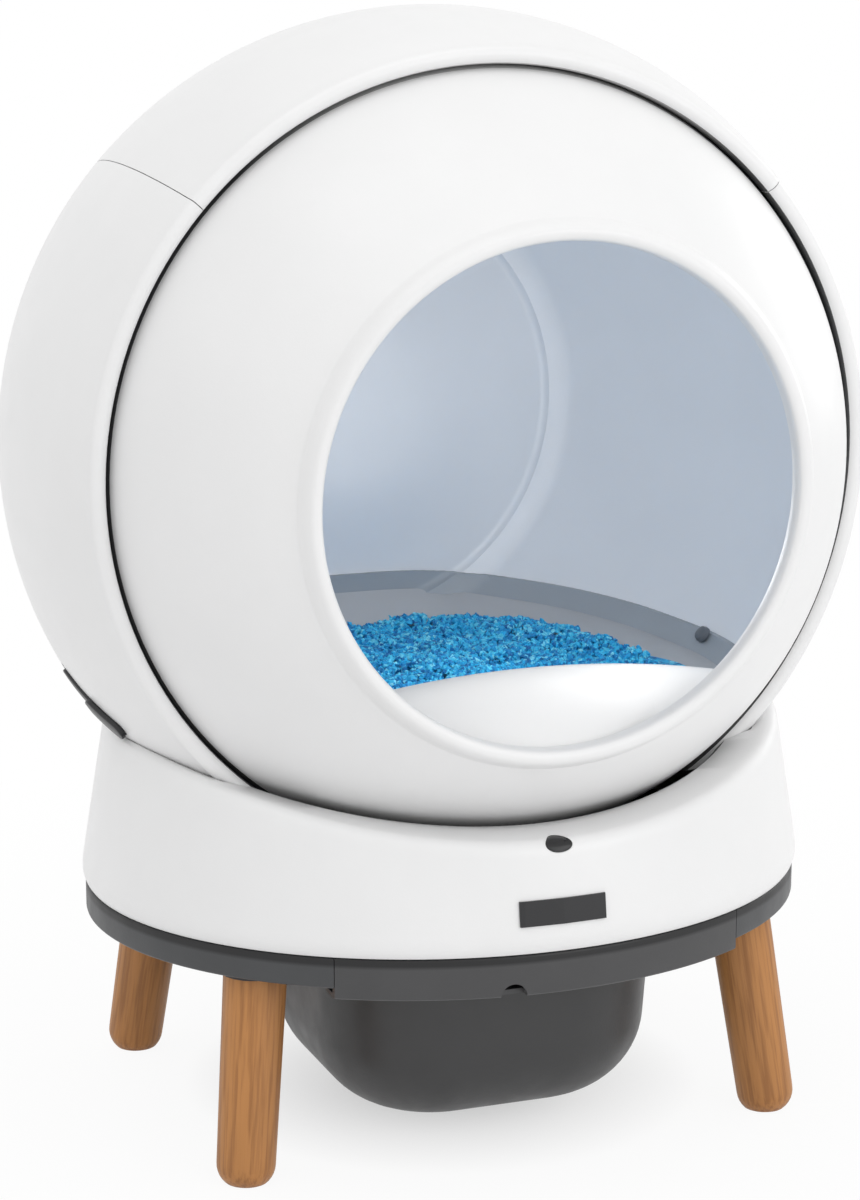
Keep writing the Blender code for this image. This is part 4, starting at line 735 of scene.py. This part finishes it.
def make_housing():
    shell = revolve("housing_skin", housing_profile())
    cut(shell, seam_wedge(-SEAM_HALF))
    cut(shell, saddle_rod(HOUSING_DIP), operation="INTERSECT")
    cut(shell, *[latch_form("slot", side, LATCH_BAR, 0.0004, LATCH_TRAVEL) for side in (-1, 1)])
    dress(shell, "base", "white_shell", WHITE, "housing_shell")
    # Painted shade: the lip's inner faces, here and on the cover below, take the dark gap tone that stands
    # for the gap's shadow.
    paint_gap_shade(shell, in_lip)
    cover = revolve("top_cover_skin", housing_profile())
    cut(cover, seam_wedge(SEAM_HALF), operation="INTERSECT")
    dress(cover, "top_cover", "white_shell", WHITE, "top_cover")
    paint_gap_shade(cover, in_lip)
    for side, word in ((-1, "left"), (1, "right")):
        bar = latch_form("latch_bar_" + word, side, LATCH_BAR)
        cut(bar, latch_form("grip", side, LATCH_GRIP), operation="UNION", angle=50)
        dress(bar, "latch_" + word, "black_plastic", BLACK, "side_latch_" + word)


def make_back():
    wall = HALF_DEPTH - HOUSING_WALL
    soft = 0.0005
    profile = [(0, HALF_DEPTH), (REAR_HOLE - 0.0010, HALF_DEPTH), (REAR_HOLE - soft, HALF_DEPTH - soft),
               (REAR_HOLE - soft, wall), (0, wall)]
    cover = revolve("rear_cover_skin", profile, closed=False, steps=128)
    slots = []
    for index in range(6):
        z = AXIS + (index - 2.5) * VENT_PITCH
        place = Matrix.Translation((0, HALF_DEPTH, z)) @ Matrix.Rotation(math.pi / 2, 4, "X")
        slots.append(slab("vent", capsule(*VENT), -0.01, 0.01, place))
    turns = span(4, math.radians(-105), math.radians(105))
    screws = [polar(angle, REAR_HOLE - 0.005, HALF_DEPTH) for angle in turns]
    radius, deep = SCREW_SEAT
    for point in screws:
        slots.append(rod("seat", point - Vector((0, deep, 0)), point + Vector((0, 0.01, 0)), radius))
    cut(cover, *slots)
    dress(cover, "base", "white_shell", WHITE, "rear_cover")
    profile = [(0, 0), (0.0030, 0), (0.0035, -0.0005), (0.0035, -0.0018), (0.0015, -0.0018),
               (0.0015, -0.0048), (0, -0.0048)]
    long, thin = SCREW_CROSS
    for index, point in enumerate(screws):
        place = Matrix.Translation(point) @ Matrix.Rotation(-math.pi / 2, 4, "X")
        screw = turn_up("cover_screw_%d" % (index + 1), profile, place)
        cross = []
        for x, y in ((long, thin), (thin, long)):
            cross.append(block("cross", (-x, -y, -0.0010), (x, y, 0.001), place))
        cut(screw, *cross)
        dress(screw, "base", "zinc_steel", STEEL, "rear_cover_screw_%d" % (index + 1))
    radius, thick = FILTER
    rear = wall - FIT_GAP
    felt = rod("filter_pad", (0, rear - thick, AXIS), (0, rear, AXIS), radius, 96)
    edge(felt, 0.0015, 3)
    dress(felt, "base", "carbon_felt", FELT, "carbon_filter")


# Globe

def boss_curve(rear, inset=0.0):
    """The back wall's middle stands forward and melts into the wall."""
    points = [(0, rear - BOSS_DEPTH)]
    for t in span(24, 0, 1):
        ease = t * t * (3 - 2 * t)
        points.append((BOSS[0] + (BOSS[1] - BOSS[0]) * t + inset, rear - BOSS_DEPTH * (1 - ease)))
    return points


def globe_inside(inset):
    """Inner outline of the rear shell from the middle of its back wall to the shells' seam."""
    rear = REAR_WALL - inset
    profile = boss_curve(rear, inset)
    profile += [(0.1445 - inset, rear)]
    profile += bend((0.146 - inset, rear), (0.1495 - inset, rear - 0.0005),
                    (0.1515 - inset, rear - 0.0035), 6)
    profile += ball_arc(GLOBE, rear - 0.0065, SHELL_SEAM, 40, GLOBE_WALL + inset)
    return profile


def make_dome():
    rim_y = DOME[1] - math.sqrt(DOME[0] ** 2 - RIM_OUTER ** 2)
    face = -HALF_DEPTH
    track_low, track_high = TRACKS[0]
    profile = [(ball_at(GLOBE, SHELL_SEAM), SHELL_SEAM), (TRACK_RADIUS, track_high),
               (TRACK_RADIUS, track_low)]
    profile += ball_arc(DOME, track_low, rim_y + 0.0005, 50)
    crest = (RIM_OUTER - 0.0060, face + 0.0006)
    profile += bend((RIM_OUTER, rim_y), (RIM_OUTER - 0.0025, face + 0.0030), crest, 7)
    profile += bend(crest, (OPENING + 0.0030, face - 0.0004), (OPENING + 0.0008, face + 0.0022), 8)[1:]
    profile += [(OPENING, face + 0.0050), (OPENING, face + 0.0115), (RIM_INNER, face + 0.0115)]
    dome_in = DOME[0] - GLOBE_WALL
    back_y = DOME[1] - math.sqrt(dome_in ** 2 - RIM_INNER ** 2)
    profile += ball_arc(DOME, back_y, track_high - 0.008, 24, GLOBE_WALL)
    profile.append((ball_at(GLOBE, SHELL_SEAM, GLOBE_WALL), SHELL_SEAM))
    dome = revolve("front_dome", profile)
    dress(dome, "globe", "white_shell", WHITE, "globe_front_shell")
    # Painted shade: the dome's band under the housing's lip takes the dark gap tone for the gap's shadow.
    paint_gap_shade(dome, lambda centre, normal: centre.y > -LIP_FRONT + 0.0055 and outward(centre, normal) > 0)


def make_lining():
    back = REAR_WALL + GLOBE_WALL
    seam = SHELL_SEAM + FIT_GAP
    profile = boss_curve(back) + [(0.150, back)]
    profile += ball_arc(GLOBE, back - 0.005, GEAR_SPAN[1], 24)
    gear_low, gear_high = GEAR_SPAN
    track_low, track_high = TRACKS[1]
    profile += [(GEAR_SEAT, gear_high), (GEAR_SEAT, gear_low), (ball_at(GLOBE, gear_low), gear_low),
                (ball_at(GLOBE, track_high), track_high), (TRACK_RADIUS, track_high),
                (TRACK_RADIUS, track_low)]
    profile += ball_arc(GLOBE, track_low, seam, 20)
    profile += list(reversed(globe_inside(0)))
    lining = revolve("globe_lining", profile, closed=False)
    (x_low, x_high), (y_low, y_high) = PORT
    cut(lining, block("port", (x_low, y_low, AXIS + 0.15), (x_high, y_high, AXIS + 0.27)))
    dress(lining, "globe", "pale_grey_lining", LINING, "globe_rear_shell")


def inside_ball(name, inset):
    profile = globe_inside(inset)
    dome_in = DOME[0] - GLOBE_WALL - inset
    back_y = DOME[1] - math.sqrt(dome_in ** 2 - RIM_INNER ** 2)
    profile = profile[:-1] + ball_arc(DOME, -0.060, back_y, 20, GLOBE_WALL + inset) + [(0, back_y)]
    return revolve(name, profile, closed=False)


def plain_inside(name, inset):
    """The globe's inside without its boss, up to the shells' seam."""
    rear = REAR_WALL - inset
    front = -0.16
    start = ball_arc(GLOBE, rear - 0.006, front, 60, GLOBE_WALL + inset)
    corner = (ball_at(GLOBE, rear, GLOBE_WALL + inset), rear)
    profile = [(0, rear)] + bend((corner[0] - 0.010, rear), corner, start[0])[:-1] + start + [(0, front)]
    return revolve(name, profile, closed=False)


def above_rim():
    """The space above the bowl, up to BOWL_ROOF. Its floor follows the rim's height all round.

    The globe's inside is higher than BOWL_ROOF, so a cap of the bowl's shell stays at its top."""
    bm = bmesh.new()
    floor = bm.verts.new((0, GLOBE[1], BOWL_RIM[0]))
    roof = bm.verts.new((0, GLOBE[1], BOWL_ROOF))
    count = 180
    inner, outer = 0.12, 0.30
    columns = []
    for index in range(count):
        angle = 2 * math.pi * index / count
        z = around(BOWL_RIM, angle)
        flat = Vector((math.sin(angle), math.cos(angle), 0))
        foot = Vector((0, GLOBE[1], 0))
        columns.append([bm.verts.new(foot + flat * reach + Vector((0, 0, height)))
                        for reach, height in ((inner, z), (outer, z), (outer, BOWL_ROOF))])
    for a, b in zip(columns, columns[1:] + columns[:1]):
        bm.faces.new((floor, a[0], b[0]))
        bm.faces.new((a[0], a[1], b[1], b[0]))
        bm.faces.new((a[1], a[2], b[2], b[1]))
        bm.faces.new((a[2], roof, b[2]))
    return finish_mesh(bm, "above")


def make_bowl():
    bowl = inside_ball("bowl_skin", FIT_GAP)
    cut(bowl, inside_ball("hollow", BOWL_WALL))
    cut(bowl, above_rim())
    dress(bowl, "globe", "grey_bowl", BOWL, "litter_bowl")
    make_step()
    profile = [(0, 0.0026), (0.0030, 0.0024), (0.0048, 0.0014), (0.0056, -0.0006),
               (0.0056, -0.0024), (0, -0.0024)]
    for word in ("left", "right"):
        low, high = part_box("bowl_clip_" + word)
        middle = (low + high) / 2
        inward = (Vector((0, GLOBE[1], AXIS)) - middle).normalized()
        turn = inward.to_track_quat("Z", "Y").to_matrix().to_4x4()
        knob = turn_up("bowl_knob_" + word, profile, Matrix.Translation(middle) @ turn, 32)
        dress(knob, "globe", "black_plastic", KNOB, "bowl_clip_" + word)


def wall_point(angle, z, inset):
    """A point at height z on the globe's inside, inset from its wall."""
    reach = math.sqrt((GLOBE[0] - GLOBE_WALL - inset) ** 2 - (z - AXIS) ** 2)
    if math.cos(angle) > 0:
        reach = min(reach, (REAR_WALL - inset - GLOBE[1]) / math.cos(angle))
    return Vector((reach * math.sin(angle), GLOBE[1] + reach * math.cos(angle), z))


def make_step():
    """A sloped step that runs round the bowl between its upright rim and the litter."""
    wall = BOWL_WALL + 0.0002
    bm = bmesh.new()
    count = 240
    loops = []
    for index in range(count):
        angle = 2 * math.pi * index / count
        top = around(BOWL_RIM, angle) - STEP_DROP
        low = min(LITTER_TOP - 0.001, top - 0.003)
        upper, lower = wall_point(angle, top, wall), wall_point(angle, low, wall)
        inner = wall_point(angle, low, wall + around(LITTER_INSET, angle))
        crest = upper.lerp(inner, 0.10) + Vector((0, 0, 0.0004))
        loops.append([bm.verts.new(p) for p in (lower, upper, crest, upper.lerp(inner, 0.5), inner)])
    skin(bm, loops + loops[:1])
    dress(finish_mesh(bm, "bowl_step", 50), "globe", "grey_bowl", BOWL_STEP_PAINTED_LIGHT)


def make_litter():
    """A heaped bed with crumbs strewn over it where it can be seen."""
    rng = np.random.default_rng(7)
    bed = plain_inside("litter_bed_skin", BOWL_WALL + 0.0006)
    cut(bed, block("above", (-0.3, -0.3, LITTER_TOP - 0.001), (0.3, 0.3, 0.9)))
    dress(bed, "globe", "blue_litter", LITTER, "litter_bed")
    shape = bmesh.new()
    bmesh.ops.create_icosphere(shape, subdivisions=1, radius=1)
    unit = np.array([v.co for v in shape.verts])
    faces = np.array([[v.index for v in f.verts] for f in shape.faces])
    shape.free()
    verts, tris, made = [], [], 0
    while made < CRUMBS:
        x, y = rng.uniform(-0.19, 0.19), rng.uniform(-0.142, 0.184)
        angle = math.atan2(x, y - GLOBE[1])
        shore = wall_point(angle, LITTER_TOP, around(LITTER_INSET, angle))
        if math.hypot(x, y - GLOBE[1]) > math.hypot(shore.x, shore.y - GLOBE[1]):
            continue
        heap = (0.0035 * math.sin(31 * x + 1.3) * math.cos(27 * y) +
                0.0018 * math.sin(83 * x + 61 * y) + 0.0012 * math.sin(140 * y - 90 * x))
        size = rng.uniform(*CRUMB_SIZE)
        turn = Matrix.Rotation(rng.uniform(0, 6.28), 3, Vector(rng.normal(size=3)).normalized())
        lumps = unit * (1 + 0.22 * rng.standard_normal((len(unit), 1)))
        lumps = (lumps * size * rng.uniform(0.7, 1.25, 3)) @ np.array(turn)
        z = LITTER_TOP + 0.0015 + heap + rng.uniform(0, 0.0022)
        verts.append(lumps + np.array((x, y, z)))
        tris.append(faces + made * len(unit))
        made += 1
    mesh = bpy.data.meshes.new("litter_crumbs")
    mesh.from_pydata(np.concatenate(verts).tolist(), [], np.concatenate(tris).tolist())
    crumbs = bpy.data.objects.new("litter_crumbs", mesh)
    bpy.context.scene.collection.objects.link(crumbs)
    dress(crumbs, "globe", "blue_litter", LITTER)


def make_sill():
    """A white ramp that rises behind the rim to an arched, rounded crest."""
    wall = 0.003
    front = 0.0119 - HALF_DEPTH
    spring = 0.274
    crest_y, crest_z = SILL_CREST
    bm = bmesh.new()
    columns = 64
    outline = [(front, 0.2687), (front + 0.002, 0.2745)]
    top = (crest_y - 0.001, crest_z)
    outline += bend((front + 0.022, crest_z - 0.016), (crest_y - 0.008, crest_z + 0.0005), top, 8)
    outline += bend(top, (crest_y + 0.0055, crest_z - 0.0005), (crest_y + 0.0062, crest_z - 0.0075), 8)[1:]
    outline += [(-0.1435, 0.2735)]
    rows = []
    for x in span(columns, -0.190, 0.190):
        sag = SILL_ARCH - math.sqrt(SILL_ARCH ** 2 - x * x)
        rows.append([bm.verts.new((x, y, z - sag * min(1, max(0, (z - spring) / (crest_z - spring)))))
                     for y, z in outline])
    skin(bm, rows, closed=False)
    sill = finish_mesh(bm, "sill_ramp", 60)
    thick = sill.modifiers.new("wall", "SOLIDIFY")
    thick.thickness = wall
    thick.offset = -1
    bake(sill, 60)
    cut(sill, inside_ball("limit", FIT_GAP), operation="INTERSECT", angle=50)
    dress(sill, "globe", "white_shell", SILL_WHITE_PAINTED_LIGHT, "entry_sill")


# Base, chassis, legs

def base_radius(z):
    return BASE_HALF[0] - BASE_TAPER * (z - BASE_LOW)


def saddle_at(x, drop):
    radius = SADDLE[0] + drop
    return SADDLE[0] + SADDLE[1] - math.sqrt(radius * radius - x * x)


def eye_place():
    return Matrix.Translation((0, *EYE)) @ Matrix.Rotation(EYE_TILT, 4, "X")


def base_cap(inset, drop, low_turn):
    """Rows of points from the low edge up the wall, over a soft shoulder and in to the middle."""
    share = (BASE_HALF[1] - inset) / (BASE_HALF[0] - inset)
    turn = BASE_SHOULDER
    tuck, tuck_bend, tuck_high = 0.0045, 0.004, 0.013
    count = 192
    columns = []
    for index in range(count):
        angle = 2 * math.pi * index / count
        cos, sin = math.cos(angle), math.sin(angle) * share
        top = 0.24
        for _ in range(12):
            top = saddle_at((base_radius(top) - inset) * cos, drop)

        def wall(z):
            radius = base_radius(z) - inset
            return Vector((radius * cos, radius * sin, z))

        def deck(part):
            radius = (base_radius(top) - inset) * part
            return Vector((radius * cos, radius * sin, saddle_at(radius * cos, drop)))

        points = []
        if low_turn:
            foot = wall(BASE_LOW)
            tucked = foot.copy()
            tucked.xy *= 1 - tuck / BASE_HALF[0]
            corner, end = wall(BASE_LOW + tuck_bend), wall(BASE_LOW + tuck_high)
            points += [Vector(p) for p in bend(tucked, corner, end, 6)]
        else:
            points.append(wall(BASE_LOW))
        start = BASE_LOW + (tuck_high if low_turn else 0)
        points += [wall(start + (top - turn - start) * t) for t in span(7, 0, 1)[1:]]
        inner = deck(1 - turn / base_radius(top))
        points += [Vector(p) for p in bend(wall(top - turn), wall(top), inner, 9)[1:]]
        points += [deck((1 - turn / base_radius(top)) * t) for t in span(9, 1, 0)[1:]]
        columns.append(points)
    return columns


def make_base():
    outer = base_cap(0, 0, True)
    inner = base_cap(BASE_WALL + 0.0045, BASE_WALL, False)
    bm = bmesh.new()
    grid = []
    for a, b in zip(outer, inner):
        column = [bm.verts.new(p) for p in reversed(a)] + [bm.verts.new(p) for p in b]
        grid.append(column)
    skin_round(bm, grid)
    bmesh.ops.remove_doubles(bm, verts=bm.verts, dist=FINE)
    base = finish_mesh(bm, "base_skin", 45)
    gap = 0.0006
    housing, dome = (HOUSING[0] + gap, HOUSING[1]), (DOME[0] + 0.0054, DOME[1])
    lip = -LIP_FRONT - gap
    well = [(0, HOUSING[1] + housing[0])] + ball_arc(housing, HOUSING[1] + housing[0] - FINE, lip, 48)[1:]
    well += ball_arc(dome, lip, DOME[1] - dome[0] + FINE, 48)[:-1] + [(0, DOME[1] - dome[0])]
    tilt = eye_place()
    cutters = [revolve("well", well, closed=False)]
    cutters.append(slab("eye", ring(64, *EYE_HOLE), -0.012, 0.012, tilt))
    for side in (-1, 1):
        cutters += [latch_form("notch", side, form, FIT_GAP) for form in (LATCH_BAR, LATCH_GRIP)]
    place = Matrix.Translation((0, 0.195, PANEL_WINDOW[0])) @ Matrix.Rotation(math.pi / 2, 4, "X")
    cutters.append(slab("window", rounded_box(*PANEL_WINDOW[1:]), -0.03, 0.0113, place))
    x, z, radius = INLET_HOLE
    cutters.append(rod("inlet", (x, 0.165, z), (x, 0.22, z), radius))
    cut(base, *cutters, angle=45)
    dress(base, "base", "white_shell", WHITE, "base_housing")
    # Painted shade: the well's faces that look towards the globe take the dark gap tone for the shadow
    # between base and globe.
    middle = Vector((0, DOME[1], AXIS))
    paint_gap_shade(base, lambda centre, normal: (middle - centre).normalized().dot(normal) > 0.93
           and (centre - middle).length < HOUSING[0] + 0.002 and centre.z < 0.24)


def rounded_box(half_x, half_y, radius):
    points = []
    for x, y, first in ((1, 1, 0), (-1, 1, 1), (-1, -1, 2), (1, -1, 3)):
        for angle in span(7, first * math.pi / 2, (first + 1) * math.pi / 2):
            points.append((x * (half_x - radius) + radius * math.cos(angle),
                           y * (half_y - radius) + radius * math.sin(angle)))
    return points


def oval(name, half, low, high):
    bm = bmesh.new()
    bmesh.ops.create_cone(bm, cap_ends=True, segments=192, radius1=half[0], radius2=half[0],
                          depth=high - low)
    bmesh.ops.scale(bm, vec=(1, half[1] / half[0], 1), verts=bm.verts)
    bmesh.ops.translate(bm, vec=(0, 0, (low + high) / 2), verts=bm.verts)
    return finish_mesh(bm, name)


def inset_of(half, inset):
    return half[0] - inset, half[1] - inset


def make_chassis():
    low, high = CHASSIS_SPAN
    past = -0.23
    tray = edge(oval("chassis_skin", CHASSIS_HALF, low, high), CHASSIS_EDGE, 3)
    half = DRAWER_HALF + 0.0004
    inside = inset_of(CHASSIS_HALF, CHASSIS_WALL)
    (x_low, x_high), (y_low, y_high) = CHUTE_HOLE
    cut(tray, oval("hollow", inside, low + CHASSIS_WALL, high + OVERRUN),
        block("gate", (-half, past, low - OVERRUN), (half, DRAWER_BACK, high + OVERRUN)),
        block("hole", (x_low, y_low, low - OVERRUN), (x_high, y_high, high)))
    dress(tray, "base", "charcoal_plastic", SKIRT, "chassis_tray")
    front = edge(oval("drawer_face", CHASSIS_HALF, DRAWER_LOW, high), CHASSIS_EDGE, 3)
    inside = inset_of(CHASSIS_HALF, DRAWER_WALL)
    cut(front, oval("hollow", inside, DRAWER_LOW + CHASSIS_WALL, high + OVERRUN))
    cut(front, block("limit", (-DRAWER_HALF, past, 0.1), (DRAWER_HALF, DRAWER_BACK - FIT_GAP, 0.2)),
        operation="INTERSECT")
    x, rear, radius = FINGER_NOTCH
    cut(front, rod("notch", (x, -0.22, DRAWER_LOW), (x, rear, DRAWER_LOW), radius, 64))
    dress(front, "drawer", "charcoal_plastic", FRONT, "drawer_front")


def tub(name, shrink, low, high):
    """The bin's tapered, rounded form, made smaller all round by shrink."""
    middle, half_length = (TUB_Y[0] + TUB_Y[1]) / 2, (TUB_Y[1] - TUB_Y[0]) / 2
    bm = bmesh.new()
    bmesh.ops.create_cube(bm, size=1)
    for vert in bm.verts:
        z = low if vert.co.z < 0 else high
        share = 1 - TUB_DRAFT * (TUB_TOP - z) / (TUB_TOP - TUB_LOW)
        vert.co = (2 * vert.co.x * (TUB_HALF * share - shrink),
                   middle + 2 * vert.co.y * (half_length * share - shrink), z)
    upright = [e for e in bm.edges if abs(e.verts[0].co.z - e.verts[1].co.z) > (high - low) / 2]
    bmesh.ops.bevel(bm, geom=upright, offset=TUB_CORNER - shrink, segments=20, affect="EDGES", profile=0.5)
    bottom = [e for e in bm.edges if max(e.verts[0].co.z, e.verts[1].co.z) < low + FINE]
    bmesh.ops.bevel(bm, geom=bottom, offset=TUB_ROUND - shrink, segments=16, affect="EDGES", profile=0.5)
    return finish_mesh(bm, name)


def make_bin():
    body = tub("bin_skin", 0, TUB_LOW, TUB_TOP)
    half, rear = FLANGE
    flange = block("flange", (-half, DRAWER_BACK, DRAWER_LOW), (half, rear, TUB_TOP))
    cut(body, flange, operation="UNION")
    cut(body, tub("hollow", TUB_WALL, TUB_LOW + TUB_WALL, TUB_TOP + OVERRUN))
    dress(body, "drawer", "charcoal_plastic", TUB, "waste_bin")
    outer, inner, height = BAG_RING
    holder = tub("bag_ring_skin", outer, TUB_LOW, TUB_TOP)
    cut(holder, tub("hollow", inner, TUB_LOW - 0.01, TUB_TOP + 0.01),
        block("below", (-0.2, -0.2, 0), (0.2, 0.2, TUB_TOP - height)))
    dress(holder, "drawer", "pale_grey_lining", LINING, "bag_ring")


def make_legs():
    foot_radius, head_radius = LEG_RADII
    over, reach = 0.006, 0.04
    low = -LEG_ROUND / 4
    for x_side, x_word in ((-1, "left"), (1, "right")):
        for y_side, y_word in ((-1, "front"), (1, "rear")):
            word = y_word + "_" + x_word
            down = Vector((x_side * LEG_SPLAY[0], y_side * LEG_SPLAY[1], -1)).normalized()
            foot = Vector((x_side * LEG_FOOT[0], y_side * LEG_FOOT[1], 0))
            length = LEG_TOP / -down.z
            profile = [(0, length + over), (head_radius, length + over), (foot_radius, low + LEG_ROUND)]
            profile += [(foot_radius - LEG_ROUND * (1 - math.cos(a)), low + LEG_ROUND * (1 - math.sin(a)))
                        for a in span(10, 0, math.pi / 2)[1:]] + [(0, low)]
            turn = (-down).to_track_quat("Z", "Y").to_matrix().to_4x4()
            leg = turn_up("wood_" + word, profile, Matrix.Translation(foot) @ turn, 72)
            head = foot - down * length
            cut(leg, block("floor", (foot.x - reach, foot.y - reach, -OVERRUN),
                           (foot.x + reach, foot.y + reach, 0)),
                block("top", (head.x - reach, head.y - reach, LEG_TOP),
                      (head.x + reach, head.y + reach, 0.16)))
            dress(leg, "base", "oiled_wood", WOOD, "leg_" + word)


# Small parts

def make_front_details():
    bm = bmesh.new()
    proud = 0.0005
    columns = [[bm.verts.new(p) for p in column] for column in base_cap(-proud, -proud, False)]
    skin_round(bm, columns)
    bm.faces.new([column[0] for column in columns])
    crown = finish_mesh(bm, "crown")
    eye = slab("sensor_eye", ring(64, *EYE_HALF), -0.006, 0.012, eye_place())
    edge(cut(eye, crown, operation="INTERSECT"), 0.0004)
    dress(eye, "base", "smoked_lens", LENS, "sensor_window")


def paint_nodes():
    """The solids that stay get finishes of their own kind."""
    kinds = ((BLACK, ("badge_plate", "hall_sensor", "bin_switch", "control_panel", "power_inlet",
                      "leg_plate_front_left", "leg_plate_front_right", "leg_plate_rear_left",
                      "leg_plate_rear_right")),
             (CHARCOAL, ("globe_ring_gear", "bin_rail_left", "bin_rail_right", "waste_chute")),
             (LINING, ("sifting_screen", "power_button", "clean_button", "level_button")),
             (STEEL, ("drive_pinion", "drive_motor", "motor_bracket", "roller_bracket_left",
                      "roller_bracket_right", "home_magnet")),
             (RUBBER, ("support_roller_front_left", "support_roller_front_right",
                       "support_roller_rear_left", "support_roller_rear_right")),
             (BOARD, ("control_board", "sensor_board")),
             (LENS, ("status_light",)))
    for material, names in kinds:
        for name in names:
            data = NODES[name].data
            data.materials.clear()
            data.materials.append(material)


make_camera()
make_stage()
make_housing()
make_back()
make_dome()
make_lining()
make_bowl()
make_litter()
make_sill()
make_base()
make_chassis()
make_bin()
make_legs()
make_front_details()
paint_nodes()
